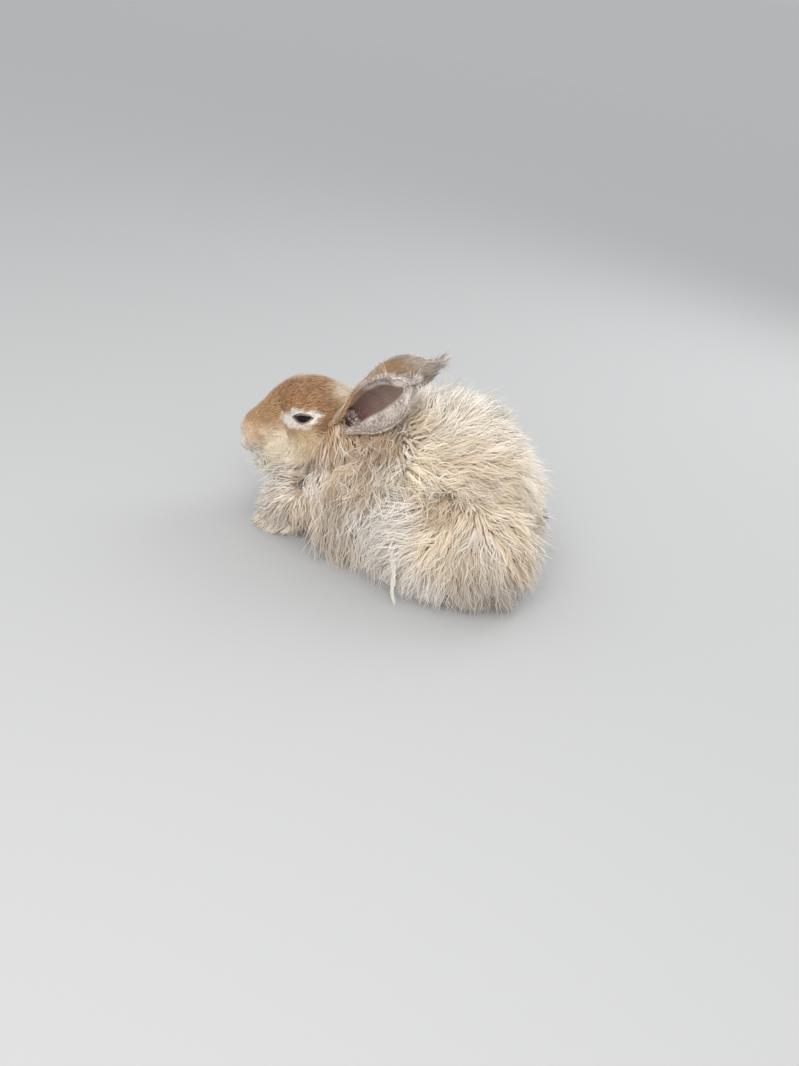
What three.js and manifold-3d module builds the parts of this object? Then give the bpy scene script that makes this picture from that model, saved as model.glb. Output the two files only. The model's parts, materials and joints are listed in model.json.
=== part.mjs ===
// A young angora rabbit, crouched with its head low, its ears laid back and its long coat spread over its
// feet, as a still, life-size model. Millimetres, +Z up. The rabbit faces -X, its left side is -Y, and the
// floor is at zero. The body is a few closed round forms. The coat is flat, tapered locks that are rooted in
// them and overlap as they lie.
import * as THREE from "three";
import { mergeVertices } from "three/addons/utils/BufferGeometryUtils.js";
import Module from "manifold-3d";

const wasm = await Module();
wasm.setup();
const { Manifold } = wasm;

// Driving dimensions
const BODY = 200; // skin of the chest to skin of the rump
const HEAD = 97; // nose to the back of the skull, short fur included
const EAR_LONG = 70; // root to tip, without the fringe
const EYE = 15; // across the eyeball
const COAT = 36; // the longest coat, square to the skin, on the rump

// Gaps and thin sizes
const GAP = 0.3; // between nodes that touch
const FLOOR_GAP = 1.2; // under every lock
const CORE = 0.42; // the share of the coat's depth that the solid core fills
const SINK = 9; // how deep a lock's root goes into the core

// Where the forms stand
const CHEST_X = -0.45 * BODY;
const NOSE = new THREE.Vector3(-139, -4, 74);
const HEAD_PITCH = 20; // degrees, nose down
const HEAD_YAW = 4; // degrees, nose turned to the rabbit's left

const rad = THREE.MathUtils.degToRad;
const mix = THREE.MathUtils.lerp;
const { clamp } = THREE.MathUtils;
const vec = (x, y, z) => new THREE.Vector3(x, y, z);

// A seeded draw between low and high, the same ones each time.
function dice(seed) {
  let state = seed;
  return (low, high) => {
    state = (state * 1664525 + 1013904223) % 4294967296;
    return mix(low, high, state / 4294967296);
  };
}

// A smooth curve through [place, value] pairs, read at one place.
function curve(pairs, at) {
  const last = pairs.length - 1;
  if (at <= pairs[0][0]) return pairs[0][1];
  if (at >= pairs[last][0]) return pairs[last][1];
  const i = pairs.findIndex((pair) => pair[0] > at) - 1;
  const slope = (k) => {
    const before = pairs[Math.max(k - 1, 0)];
    const after = pairs[Math.min(k + 1, last)];
    return (after[1] - before[1]) / (after[0] - before[0]);
  };
  const span = pairs[i + 1][0] - pairs[i][0];
  const u = (at - pairs[i][0]) / span;
  const rise = u * u * (3 - 2 * u);
  return (
    mix(pairs[i][1], pairs[i + 1][1], rise) +
    span * (slope(i) * u * (1 - u) ** 2 - slope(i + 1) * u * u * (1 - u))
  );
}

// A round form is a unit sphere with its poles at the front and the back, each point n of it moved to the
// form's skin. half, up and down are its reach sideways, upwards and downwards at places from -1, the front,
// to 1, the back, mid is the level of its widest line, blunt is how square its ends are, and under how
// square its lower half is across.
const signedPower = (value, power) => Math.sign(value) * Math.abs(value) ** power;
function skinPoint(form, n) {
  const ring = Math.hypot(n.y, n.z);
  const reach = (1 - Math.abs(n.x) ** form.blunt) ** (1 / form.blunt);
  const power = n.z < 0 && form.under ? 2 / form.under : 1;
  const across = ring > 1e-9 ? signedPower(n.y / ring, power) * reach : 0;
  const upwards = ring > 1e-9 ? signedPower(n.z / ring, power) * reach : 0;
  const height = curve(upwards > 0 ? form.up : form.down, n.x);
  const point = vec(
    mix(form.from, form.to, (n.x + 1) / 2),
    curve(form.half, n.x) * across,
    curve(form.mid, n.x) + height * upwards,
  );
  if (form.swell) form.swell(point, n);
  return form.place ? point.applyMatrix4(form.place) : point;
}

// The direction square to a form's skin, from two short steps along it.
function skinNormal(form, n) {
  const STEP = 0.02;
  const inner = n.clone().multiplyScalar(1 - 1e-4);
  const side = Math.abs(n.x) < 0.9 ? vec(1, 0, 0) : vec(0, 1, 0);
  const a = side.clone().cross(inner).normalize();
  const b = inner.clone().cross(a).normalize();
  const at = (axis, step) => skinPoint(form, inner.clone().addScaledVector(axis, step).normalize());
  const alongA = at(a, STEP).sub(at(a, -STEP));
  const alongB = at(b, STEP).sub(at(b, -STEP));
  const normal = alongA.cross(alongB).normalize();
  return form.mirrored ? normal.negate() : normal;
}

// A point over a form's skin, by a depth that may change from place to place.
function overSkin(form, n, depth) {
  return skinPoint(form, n).addScaledVector(skinNormal(form, n), depth);
}

// A closed three.js geometry as a solid.
function solidOf(geometry) {
  const bare = new THREE.BufferGeometry().setAttribute("position", geometry.getAttribute("position"));
  bare.setIndex(geometry.getIndex());
  const merged = mergeVertices(bare, 1e-4);
  const solid = new Manifold(
    new wasm.Mesh({
      numProp: 3,
      vertProperties: Float32Array.from(merged.getAttribute("position").array),
      triVerts: Uint32Array.from(merged.getIndex().array),
    }),
  );
  if (solid.volume() > 0) return solid;
  const index = merged.getIndex().array;
  return new Manifold(
    new wasm.Mesh({
      numProp: 3,
      vertProperties: Float32Array.from(merged.getAttribute("position").array),
      triVerts: Uint32Array.from(index).reverse(),
    }),
  );
}

// The solid of a round form, grown by a depth over its skin, and flat where it would pass the lowest level.
function roundSolid(form, depthAt, columns, rows, lowest = -Infinity) {
  const geometry = new THREE.SphereGeometry(1, columns, rows);
  const places = geometry.getAttribute("position");
  for (let i = 0; i < places.count; i += 1) {
    const n = vec(-places.getY(i), places.getX(i), places.getZ(i)).normalize();
    const point = overSkin(form, n, depthAt(n));
    places.setXYZ(i, point.x, point.y, Math.max(point.z, lowest));
  }
  return solidOf(geometry);
}

// The largest closed surface of a solid, without loose scraps and sealed hollows.
function largest(solid) {
  return solid.decompose().sort((a, b) => b.volume() - a.volume())[0];
}

// A strip with a flat underside and a ridge along its back, closed at a point. Each ring has a centre, the
// directions of its width and of its ridge, and half its width and thickness.
function taperedStrip(rings, tip) {
  const points = [];
  for (const { centre, wide, ridge, halfWidth, halfThick } of rings) {
    points.push(centre.clone().addScaledVector(wide, halfWidth).addScaledVector(ridge, -halfThick));
    points.push(centre.clone().addScaledVector(wide, -halfWidth).addScaledVector(ridge, -halfThick));
    points.push(centre.clone().addScaledVector(ridge, halfThick));
  }
  points.push(tip);
  const faces = [0, 1, 2];
  const last = 3 * (rings.length - 1);
  for (let side = 0; side < 3; side += 1) {
    const next = (side + 1) % 3;
    for (let start = 0; start < last; start += 3) {
      const [a, b] = [start + side, start + next];
      faces.push(a, a + 3, b + 3, a, b + 3, b);
    }
    faces.push(last + side, points.length - 1, last + next);
  }
  const geometry = new THREE.BufferGeometry().setFromPoints(points);
  geometry.setIndex(faces);
  return geometry;
}

// One lock of the coat. It leaves the core at an angle over the lie, curls down on to it, sways to one side,
// and tapers from a wide middle to a fine tip. A grown lock is wider by more than it is thicker, so that its
// sharp edges are clear.
const EDGE_GROWTH = 4;
const FACE_GROWTH = 1.4;
const LONG_LOCK = 32; // from this length on a lock bends in one more place
const LOCK_WIDTH = [[0, 0.7], [0.35, 1], [0.65, 0.78], [1, 0.1]];
const LOCK_THICK = [[0, 1], [0.5, 0.85], [0.8, 0.5], [1, 0.2]];
function lockRings(lock, length, grow) {
  const { root, normal, lie, width, thick, lift, curl, sway, sink } = lock;
  const side = normal.clone().cross(lie).normalize();
  const heading = (share) => {
    const over = rad(lift - curl * share);
    const turned = rad(sway * share);
    const ahead = lie.clone().multiplyScalar(Math.cos(turned)).addScaledVector(side, Math.sin(turned));
    return ahead.multiplyScalar(Math.cos(over)).addScaledVector(normal, Math.sin(over));
  };
  const steps = lock.length > LONG_LOCK ? 4 : 3;
  const step = (length + sink) / steps;
  const centre = root.clone().addScaledVector(heading(0), -sink);
  const rings = [];
  for (let k = 0; k < steps; k += 1) {
    const share = k / steps;
    const ahead = heading(share);
    const wide = side.clone().addScaledVector(ahead, -side.dot(ahead)).normalize();
    const ridge = ahead.clone().cross(wide);
    const halfWidth = (width / 2) * curve(LOCK_WIDTH, share) + EDGE_GROWTH * grow;
    const halfThick = (thick / 2) * curve(LOCK_THICK, share) + FACE_GROWTH * grow;
    const dip = halfWidth * Math.abs(wide.z) + halfThick * Math.abs(ridge.z);
    const low = centre.z - dip;
    rings.push({ centre: centre.clone(), wide, ridge, halfWidth, halfThick, low });
    centre.addScaledVector(ahead, step);
  }
  return { rings, tip: centre.addScaledVector(heading(1 - 1 / steps), EDGE_GROWTH * grow) };
}

// A lock that would pass the floor is cut shorter until it ends over it.
const SHORTER = 0.9;
const SHORTEST = 0.3;
function lockSolid(lock, grow) {
  for (let share = 1; share > SHORTEST; share *= SHORTER) {
    const { rings, tip } = lockRings(lock, lock.length * share, 0);
    if (Math.min(tip.z, ...rings.map((ring) => ring.low)) < FLOOR_GAP) continue;
    const grown = lockRings(lock, lock.length * share, grow);
    return solidOf(taperedStrip(grown.rings, grown.tip));
  }
  return undefined;
}

// A soft bump: how much of it is felt at a point so far from its middle.
const bump = (point, middle, width) => Math.exp(-point.distanceToSquared(middle) / (2 * width * width));

// The head, in its own frame from the nose back along its length, then turned and pitched.
const headPlace = new THREE.Matrix4()
  .makeTranslation(NOSE.x, NOSE.y, NOSE.z)
  .multiply(new THREE.Matrix4().makeRotationZ(rad(HEAD_YAW)))
  .multiply(new THREE.Matrix4().makeRotationY(rad(-HEAD_PITCH)));
const EYE_AT = vec(0.68 * HEAD, 0.212 * HEAD, 0.107 * HEAD); // centre of the ball, on one side
const swells = [
  { at: vec(0.11 * HEAD, 0.15 * HEAD, -0.13 * HEAD), out: 1.6, width: 6 }, // whisker pad
  { at: vec(0.68 * HEAD, 0.28 * HEAD, -0.18 * HEAD), out: 3.2, width: 13 }, // cheek
  { at: vec(0.6 * HEAD, 0.2 * HEAD, 0.27 * HEAD), out: 1.2, width: 7 }, // brow
  { at: vec(0.42 * HEAD, 0.2 * HEAD, 0.1 * HEAD), out: -2.2, width: 9 }, // hollow in front of the eye
];

const head = {
  from: 0,
  to: HEAD,
  blunt: 3,
  mid: [[-1, -9], [-0.67, -9], [-0.4, -7], [0, -2], [0.4, 0], [1, 5]],
  up: [
    [-1, 23], [-0.83, 27], [-0.67, 27.5], [-0.4, 28.5], [-0.17, 32.5],
    [0.04, 36.5], [0.24, 38], [0.6, 36], [1, 28],
  ],
  down: [[-1, 25], [-0.83, 26.5], [-0.67, 25.5], [-0.4, 26], [0, 30], [0.4, 31], [0.6, 30], [1, 22]],
  half: [
    [-1, 19], [-0.67, 19.5], [-0.4, 20.5], [-0.17, 23.5],
    [0.04, 26.5], [0.24, 28.5], [0.4, 30], [1, 32],
  ],
  place: headPlace,
  swell(point) {
    const side = Math.sign(point.y) || 1;
    const mirrored = vec(point.x, Math.abs(point.y), point.z);
    const out = swells.reduce((sum, { at, out, width }) => sum + out * bump(mirrored, at, width), 0);
    point.y += side * out;
  },
};

const torso = {
  from: CHEST_X,
  to: CHEST_X + BODY,
  blunt: 2.4,
  under: 3.4,
  mid: [[-1, 44], [-0.5, 49], [0, 54], [1, 46]],
  up: [[-1, 36], [-0.5, 46], [0, 60], [0.5, 70], [1, 74]],
  down: [[-1, 30], [-0.5, 36], [0, 42], [1, 36]],
  half: [[-1, 42], [-0.5, 42], [0, 44], [0.5, 55], [1, 62]],
};

const even = (value) => [[-1, value], [1, value]];

// A form's place beside the body: side is -1 or 1, the turns are degrees.
const onSide = (side, x, y, z, turnY = 0, turnZ = 0) =>
  new THREE.Matrix4()
    .makeTranslation(x, side * y, z)
    .multiply(new THREE.Matrix4().makeRotationZ(rad(side * turnZ)))
    .multiply(new THREE.Matrix4().makeRotationY(rad(turnY)));

const neck = {
  from: -34,
  to: 34,
  blunt: 2.2,
  mid: even(0),
  up: even(30),
  down: even(36),
  half: [[-1, 27], [1, 32]],
  place: onSide(1, -46, 0, 88, -8),
};

const thigh = (side) => ({
  from: -50,
  to: 52,
  blunt: 2.4,
  under: 3,
  mid: even(0),
  up: even(36),
  down: even(32),
  half: even(24),
  place: onSide(side, 68, 53, 42, 5, -6),
});

const foreArm = (side) => ({
  from: -30,
  to: 26,
  blunt: 2.3,
  mid: even(0),
  up: [[-1, 10], [1, 17]],
  down: [[-1, 10], [1, 17]],
  half: [[-1, 10], [1, 15]],
  place: onSide(side, -80, 32, 32, -40, 4),
});

// A foot lies flat: its under side is level with the floor.
const foot = (from, to, half, high, place) => ({
  from,
  to,
  blunt: 2.8,
  mid: even(high / 2),
  up: [[-1, high / 2], [1, 0.8 * high]],
  down: even(high),
  half: even(half),
  place,
  swell(point) {
    point.z = Math.max(point.z, 0);
  },
});
const hindFoot = (side) => foot(-48, 46, 10, 14, onSide(side, 58, 62, 0, 0, 2));
const foreFoot = (side) => foot(-19, 20, 10, 13, onSide(side, -94, 30, 0, 0, -3));

const tail = {
  from: -14,
  to: 14,
  blunt: 2,
  mid: even(0),
  up: even(15),
  down: even(15),
  half: even(12),
  place: onSide(1, 112, 0, 50, -30),
};

// Whether a point is inside a form grown by a margin.
function inside(form, point, margin) {
  const local = form.place ? point.clone().applyMatrix4(form.place.clone().invert()) : point;
  const long = form.to - form.from;
  const t = ((local.x - form.from) / long) * 2 - 1;
  if (Math.abs(t) > 1 + (2 * margin) / long) return false;
  const near = clamp(t, -0.999, 0.999);
  const reach = (1 - Math.abs(near) ** form.blunt) ** (1 / form.blunt);
  const rise = local.z - curve(form.mid, near);
  const height = curve(rise > 0 ? form.up : form.down, near) * reach + margin;
  const power = rise < 0 && form.under ? form.under : 2;
  const across = Math.abs(local.y) / (curve(form.half, near) * reach + margin);
  return across ** power + Math.abs(rise / height) ** power < 1;
}

// The locks of one form, spread evenly over its skin and left out where keep says no. depth is how far the
// coat stands out there, lean the angle that it keeps to the skin, and each lock differs a little from the
// next. Close to the floor they splay outwards.
const LOCK_THICKNESS = 5;
const RISE = 16; // degrees that a lock's root stands over its lean
const CURL = 34; // degrees that a short lock turns down to its tip
const CURL_EACH = 0.5; // degrees more for each millimetre of its length
const SPLAY = 36; // degrees, at the floor
const SPLAY_BELOW = 40; // level where it begins
const STRAY = { along: 0.02, turn: 0.08, length: 0.15, width: 0.15, sway: 30, lift: 5 };
function locksOn({ form, seed, count, depth, lie, keep, lean, width }) {
  const draw = dice(seed);
  const golden = Math.PI * (3 - Math.sqrt(5));
  const locks = [];
  for (let i = 0; i < count; i += 1) {
    const stray = (name) => draw(-STRAY[name], STRAY[name]);
    const along = clamp(1 - (2 * (i + 0.5)) / count + stray("along"), -0.99, 0.99);
    const turn = golden * i + stray("turn");
    const ring = Math.sqrt(1 - along * along);
    const n = vec(along, ring * Math.cos(turn), ring * Math.sin(turn));
    const varied = {
      length: 1 + stray("length"),
      width: 1 + stray("width"),
      sway: stray("sway"),
      lift: stray("lift"),
    };
    const normal = skinNormal(form, n);
    const root = overSkin(form, n, CORE * depth(n));
    if (!keep(n, root)) continue;
    const flow = lie(n, root);
    flow.addScaledVector(normal, -flow.dot(normal)).normalize();
    const splay = SPLAY * clamp(1 - root.z / SPLAY_BELOW, 0, 1);
    const length = (((1 - CORE) * depth(n)) / Math.sin(rad(lean(n)))) * varied.length;
    locks.push({
      root,
      normal,
      lie: flow,
      length,
      width: width(n) * varied.width,
      thick: LOCK_THICKNESS,
      lift: lean(n) + RISE + varied.lift + splay,
      curl: CURL + CURL_EACH * length,
      sway: varied.sway,
      sink: SINK,
    });
  }
  return locks;
}

// A form with its coat, grown by a margin.
function coated({ form, depth, columns, rows, locks }, grow) {
  const core = roundSolid(form, (n) => CORE * depth(n) + grow, columns, rows, FLOOR_GAP - grow);
  const strands = locks.map((lock) => lockSolid(lock, grow)).filter((solid) => solid);
  return strands.reduce((sum, solid) => sum.add(solid), core);
}

const bothSides = [["left", -1], ["right", 1]]; // the rabbit's left is -Y
const paired = (make) => Object.fromEntries(bothSides.map(([name, side]) => [name, make(side)]));
const thighs = paired(thigh);
const foreArms = paired(foreArm);
const limbs = [...Object.values(thighs), ...Object.values(foreArms)];
const clearOf = (forms, point, margin) => !forms.some((form) => inside(form, point, margin));

// The coat of each form. On the trunk it hangs at the chest, falls back and down on the flanks, runs back
// along the spine, and spreads as a fan over the rump.
const torsoDepth = (n) => {
  const along = curve([[-1, 0.95], [-0.4, 0.9], [0.3, 0.94], [1, 1]], n.x);
  return COAT * along * curve([[-1, 0.35], [-0.4, 0.85], [0, 1]], n.z);
};
const torsoCoat = {
  form: torso,
  depth: torsoDepth,
  columns: 20,
  rows: 13,
};
torsoCoat.locks = locksOn({
  ...torsoCoat,
  seed: 11,
  count: 154,
  lie(n) {
    const back = curve([[-1, -0.35], [-0.55, 0.1], [-0.1, 0.5], [0.5, 0.7], [0.85, 0.35], [1, 0]], n.x);
    return vec(back, 0.6 * n.y, -0.3 - 0.6 * Math.abs(n.y) - 0.7 * Math.max(0, n.x - 0.4));
  },
  keep: (n, root) =>
    n.z > -0.72 && root.z > 13 && clearOf([head, neck], root, 3) && clearOf(limbs, root, 4),
  lean: (n) => curve([[-1, 30], [-0.3, 24], [0.4, 27], [1, 40]], n.x) + 10 * Math.max(0, -n.z),
  width: (n) => curve([[-1, 15], [0, 18], [1, 19]], n.x),
});

const neckCoat = {
  form: neck,
  depth: (n) => 0.62 * COAT * curve([[-1, 0.7], [0, 1], [1, 1]], n.x),
  columns: 12,
  rows: 10,
};
neckCoat.locks = locksOn({
  ...neckCoat,
  seed: 23,
  count: 46,
  lie: (n) => vec(0.35 + 0.5 * n.z, 0.5 * n.y, -0.25 - Math.abs(n.y)),
  keep: (n, root) => n.x > -0.75 && clearOf([head], root, 4) && clearOf([torso], root, 8),
  lean: () => 27,
  width: () => 16,
});

const thighCoat = (name, side) => {
  const depth = (n) => COAT * curve([[-1, 0.58], [0, 0.6], [1, 0.8]], n.x);
  const coat = { form: thighs[name], depth, columns: 14, rows: 10 };
  coat.locks = locksOn({
    ...coat,
    seed: 42 + side,
    count: 46,
    lie: (n) => vec(0.3 + 0.5 * n.x, 0.5 * side, -1),
    keep: (n, root) => n.y * side > 0.1 && n.z > -0.8 && root.z > 12 && clearOf([torso], root, 9),
    lean: (n) => 26 - 16 * Math.min(0, n.z),
    width: () => 18,
  });
  return coat;
};

const armCoat = (name, side) => {
  const coat = { form: foreArms[name], depth: () => 0.34 * COAT, columns: 10, rows: 8 };
  coat.locks = locksOn({
    ...coat,
    seed: 62 + side,
    count: 15,
    lie: () => vec(0.1, 0.2 * side, -1),
    keep: (n, root) => n.y * side > -0.3 && root.z > 10 && clearOf([torso], root, 5),
    lean: () => 24,
    width: () => 14,
  });
  return coat;
};

const tailCoat = { form: tail, depth: () => 0.45 * COAT, columns: 10, rows: 8 };
tailCoat.locks = locksOn({
  ...tailCoat,
  seed: 71,
  count: 20,
  lie: (n) => vec(0.5, 0.4 * n.y, 0.8),
  keep: (n, root) => clearOf([torso], root, 10),
  lean: () => 30,
  width: () => 12,
});

// An ear is a leaf rolled round its length, almost a tube at its root and open to the side above it.
const EAR_STEPS = 10;
const EAR_SIDES = 8;
const EAR_RADIUS = [[0, 8], [0.2, 12], [0.45, 18.5], [0.75, 19], [1, 13]];
const EAR_ROLL = [[0, 150], [0.15, 120], [0.35, 90], [0.6, 74], [0.82, 56], [0.94, 34], [1, 8]]; // half arc
const EAR_SPINE = 2.8; // thick along the middle
const EAR_RIM = 1.5; // thick at the rim
const EAR_BEND = 5; // how far the middle of the length bows away from its opening
const EAR_GROWTH = 2.2; // a grown ear is thicker and wider by more, because its faces are twisted
const ears = {
  left: { root: vec(-40, -23, 112), aim: vec(45, -16, 49), open: vec(0.12, -0.9, 0.36) },
  right: { root: vec(-40, 20, 112), aim: vec(56, 16, 46), open: vec(0.1, 0.8, 0.5) },
};

function earPoint({ root, aim, open }, u, arc, over, wider = 0) {
  const length = aim.clone().normalize();
  const face = open.clone().addScaledVector(length, -open.dot(length)).normalize();
  const side = length.clone().cross(face);
  const radius = curve(EAR_RADIUS, u);
  const turn = (rad(curve(EAR_ROLL, u)) + wider / radius) * arc;
  const out = face.clone().multiplyScalar(-Math.cos(turn)).addScaledVector(side, Math.sin(turn));
  return root
    .clone()
    .addScaledVector(length, EAR_LONG * u + wider * (u === 1) - wider * (u === 0))
    .addScaledVector(face, radius - EAR_BEND * Math.sin(Math.PI * u))
    .addScaledVector(out, radius + over);
}

// The sheet between two faces of a grid, split into triangles alike on both and closed round its rim.
function sheetSolid(steps, sides, place) {
  const columns = sides + 1;
  const layer = (steps + 1) * columns;
  const points = [];
  for (const face of [1, -1]) {
    for (let i = 0; i <= steps; i += 1) {
      for (let j = 0; j <= sides; j += 1) points.push(place(i / steps, (2 * j) / sides - 1, face));
    }
  }
  const at = (i, j) => i * columns + j;
  const faces = [];
  const quad = (a, b, c, d) => faces.push(a, b, c, a, c, d);
  for (let i = 0; i < steps; i += 1) {
    for (let j = 0; j < sides; j += 1) {
      const [a, b, c, d] = [at(i, j), at(i, j + 1), at(i + 1, j + 1), at(i + 1, j)];
      quad(a, b, c, d);
      faces.push(layer + a, layer + c, layer + b, layer + a, layer + d, layer + c);
    }
    quad(at(i + 1, 0), layer + at(i + 1, 0), layer + at(i, 0), at(i, 0));
    quad(at(i, sides), layer + at(i, sides), layer + at(i + 1, sides), at(i + 1, sides));
  }
  for (let j = 0; j < sides; j += 1) {
    quad(at(0, j), layer + at(0, j), layer + at(0, j + 1), at(0, j + 1));
    quad(at(steps, j + 1), layer + at(steps, j + 1), layer + at(steps, j), at(steps, j));
  }
  const geometry = new THREE.BufferGeometry().setFromPoints(points);
  geometry.setIndex(faces);
  return solidOf(geometry);
}

const earSheet = (ear, grow) =>
  sheetSolid(EAR_STEPS, EAR_SIDES, (u, arc, face) => {
    const thick = mix(EAR_SPINE, EAR_RIM, Math.abs(arc)) / 2 + EAR_GROWTH * grow;
    return earPoint(ear, u, arc, face * thick, EAR_GROWTH * grow);
  });

// Longer hair fringes the tip of each ear.
const FRINGE = [-0.9, -0.3, 0.3, 0.9]; // places across the leaf, from rim to rim
const FRINGE_LOCK = { width: 8, thick: 2.2, lift: 5, curl: 10, sink: 5 };
function earSolid(name, grow) {
  const draw = dice(name === "left" ? 31 : 37);
  return FRINGE.reduce((sum, place) => {
    const u = 0.98 - 0.16 * place * place;
    const root = earPoint(ears[name], u, place, 0);
    const lie = root.clone().sub(earPoint(ears[name], u - 0.12, place * 0.8, 0)).normalize();
    const normal = ears[name].open.clone().negate();
    normal.addScaledVector(lie, -normal.dot(lie)).normalize();
    const lock = { ...FRINGE_LOCK, root, normal, lie, length: draw(8, 12), sway: draw(-12, 12) };
    return sum.add(lockSolid(lock, grow));
  }, earSheet(ears[name], grow));
}

// Eyes: a ball on each side, deep in the head, seen through the half shut almond of its lids.
const EYE_OPEN = 12.6; // long way of the almond
const EYE_HIGH = 6.6; // reach of each lid's arc, of which half shows
const EYE_TURN = 8; // degrees that the almond's front corner hangs lower
const LID = 1.7; // how far the lids stand over the ball
const eyeLocal = (side) => vec(EYE_AT.x, side * EYE_AT.y, EYE_AT.z);

function eyeSolid(side, grow, columns, rows) {
  const geometry = new THREE.SphereGeometry(EYE / 2 + grow, columns, rows);
  geometry.rotateX(Math.PI / 2);
  const centre = eyeLocal(side).applyMatrix4(headPlace);
  geometry.translate(centre.x, centre.y, centre.z);
  return solidOf(geometry);
}

function lidOpening(side) {
  const shape = new THREE.Shape();
  const half = EYE_OPEN / 2;
  shape.moveTo(-half, 0);
  shape.quadraticCurveTo(0, EYE_HIGH, half, 0);
  shape.quadraticCurveTo(0, -EYE_HIGH, -half, 0);
  const cutter = new THREE.ExtrudeGeometry(shape, { depth: EYE, bevelEnabled: false, curveSegments: 6 });
  cutter.rotateX(Math.PI / 2);
  if (side > 0) cutter.rotateZ(Math.PI);
  cutter.rotateY(rad(EYE_TURN));
  const centre = eyeLocal(side);
  cutter.translate(centre.x, centre.y, centre.z);
  cutter.applyMatrix4(headPlace);
  return solidOf(cutter);
}

// A round cutter along a curve on the head, for a slit or a line.
function groove(points, radius, steps) {
  const path = new THREE.CatmullRomCurve3(points);
  const section = new THREE.Shape().absarc(0, 0, radius, 0, 2 * Math.PI);
  const cutter = new THREE.ExtrudeGeometry(section, { steps, extrudePath: path, curveSegments: 3 });
  cutter.applyMatrix4(headPlace);
  return solidOf(cutter);
}

// The head's skin in its own frame, at a direction from its middle.
const faceSkin = (x, y, z) => skinPoint({ ...head, place: undefined }, vec(x, y, z).normalize());

function headSolid(grow) {
  return bothSides.reduce(
    (sum, [, side]) => sum.add(eyeSolid(side, LID + grow, 14, 10)),
    roundSolid(head, () => grow, 28, 20),
  );
}

function cutFace(solid) {
  const cleft = [faceSkin(-1, 0, 0.03), faceSkin(-1, 0, -0.15), faceSkin(-1, 0, -0.33)];
  const cutters = [groove(cleft, 0.9, 3)];
  for (const [, side] of bothSides) {
    const nostril = [
      faceSkin(-1, side * 0.07, 0.1),
      faceSkin(-1, side * 0.16, 0.18),
      faceSkin(-1, side * 0.25, 0.24),
    ];
    const lip = [
      faceSkin(-1, side * 0.01, -0.32),
      faceSkin(-1, side * 0.34, -0.44),
      faceSkin(-0.86, side * 0.62, -0.62),
      faceSkin(-0.62, side * 0.8, -0.66),
    ];
    cutters.push(groove(nostril, 1.2, 3), groove(lip, 0.9, 5));
    cutters.push(lidOpening(side), eyeSolid(side, GAP, 14, 10));
  }
  return cutters.reduce((left, cutter) => left.subtract(cutter), solid);
}

// Each node is also made grown, and cuts the nodes that it lies on, so that a gap is left all round it.
const nodes = { head: cutFace(headSolid(0)) };
for (const [name, side] of bothSides) nodes[`eye_${name}`] = eyeSolid(side, 0, 14, 10);
const above = [headSolid(GAP)];
function settle(name, make) {
  nodes[name] = largest(above.reduce((left, cutter) => left.subtract(cutter), make(0)));
  above.push(make(GAP));
}
for (const [name] of bothSides) settle(`ear_${name}`, (grow) => earSolid(name, grow));
settle("neck", (grow) => coated(neckCoat, grow));
settle("torso", (grow) => coated(torsoCoat, grow));
for (const [name, side] of bothSides) {
  const sole = (grow) => roundSolid(hindFoot(side), () => grow, 12, 10);
  settle(`hindleg_${name}`, (grow) => coated(thighCoat(name, side), grow).add(sole(grow)));
}
for (const [name, side] of bothSides) {
  const sole = (grow) => roundSolid(foreFoot(side), () => grow, 12, 9);
  settle(`foreleg_${name}`, (grow) => coated(armCoat(name, side), grow).add(sole(grow)));
}
settle("tail", (grow) => coated(tailCoat, grow));

// The whole stands on the floor with its origin under the middle of its box.
const boxes = Object.values(nodes).map((solid) => solid.boundingBox());
const middle = [0, 1].map((axis) => {
  const low = Math.min(...boxes.map((box) => box.min[axis]));
  const high = Math.max(...boxes.map((box) => box.max[axis]));
  return (low + high) / 2;
});

const looks = {
  head: { color: 0xb98a5a, roughness: 0.9 },
  ear: { color: 0xa98a78, roughness: 0.85 },
  eye: { color: 0x1c0f0b, roughness: 0.08 },
  neck: { color: 0xcbb08a, roughness: 0.95 },
  torso: { color: 0xd3bc98, roughness: 0.95 },
  leg: { color: 0xdccaae, roughness: 0.95 },
  tail: { color: 0xe0d2ba, roughness: 0.95 },
};
const lookOf = (name) => looks[Object.keys(looks).find((key) => name.includes(key))];

const rabbit = new THREE.Group();
rabbit.position.set(-middle[0], -middle[1], 0);
for (const [name, solid] of Object.entries(nodes)) {
  const { vertProperties, triVerts, numProp } = solid.getMesh();
  const geometry = new THREE.BufferGeometry();
  const places = new THREE.InterleavedBuffer(vertProperties, numProp);
  geometry.setAttribute("position", new THREE.InterleavedBufferAttribute(places, 3, 0));
  geometry.setIndex(new THREE.BufferAttribute(triVerts, 1));
  const mesh = new THREE.Mesh(geometry, new THREE.MeshStandardMaterial({ metalness: 0, ...lookOf(name) }));
  mesh.name = name;
  rabbit.add(mesh);
}

export default rabbit;
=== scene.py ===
"""A young angora rabbit, crouched with its long coat spread over its feet, as a still, life-size model.

The body is one skin made of the same round forms as the solids. Over it lies the coat, thousands of tapered
strands gathered in locks that follow the lie of the wool. Shapes are worked out in millimetres in the
rabbit's own frame, where it faces -X, its left side is -Y and the floor is at zero.
"""

import json
import math

import bpy
import numpy as np
from mathutils import Matrix, Vector
from mathutils.kdtree import KDTree

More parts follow.
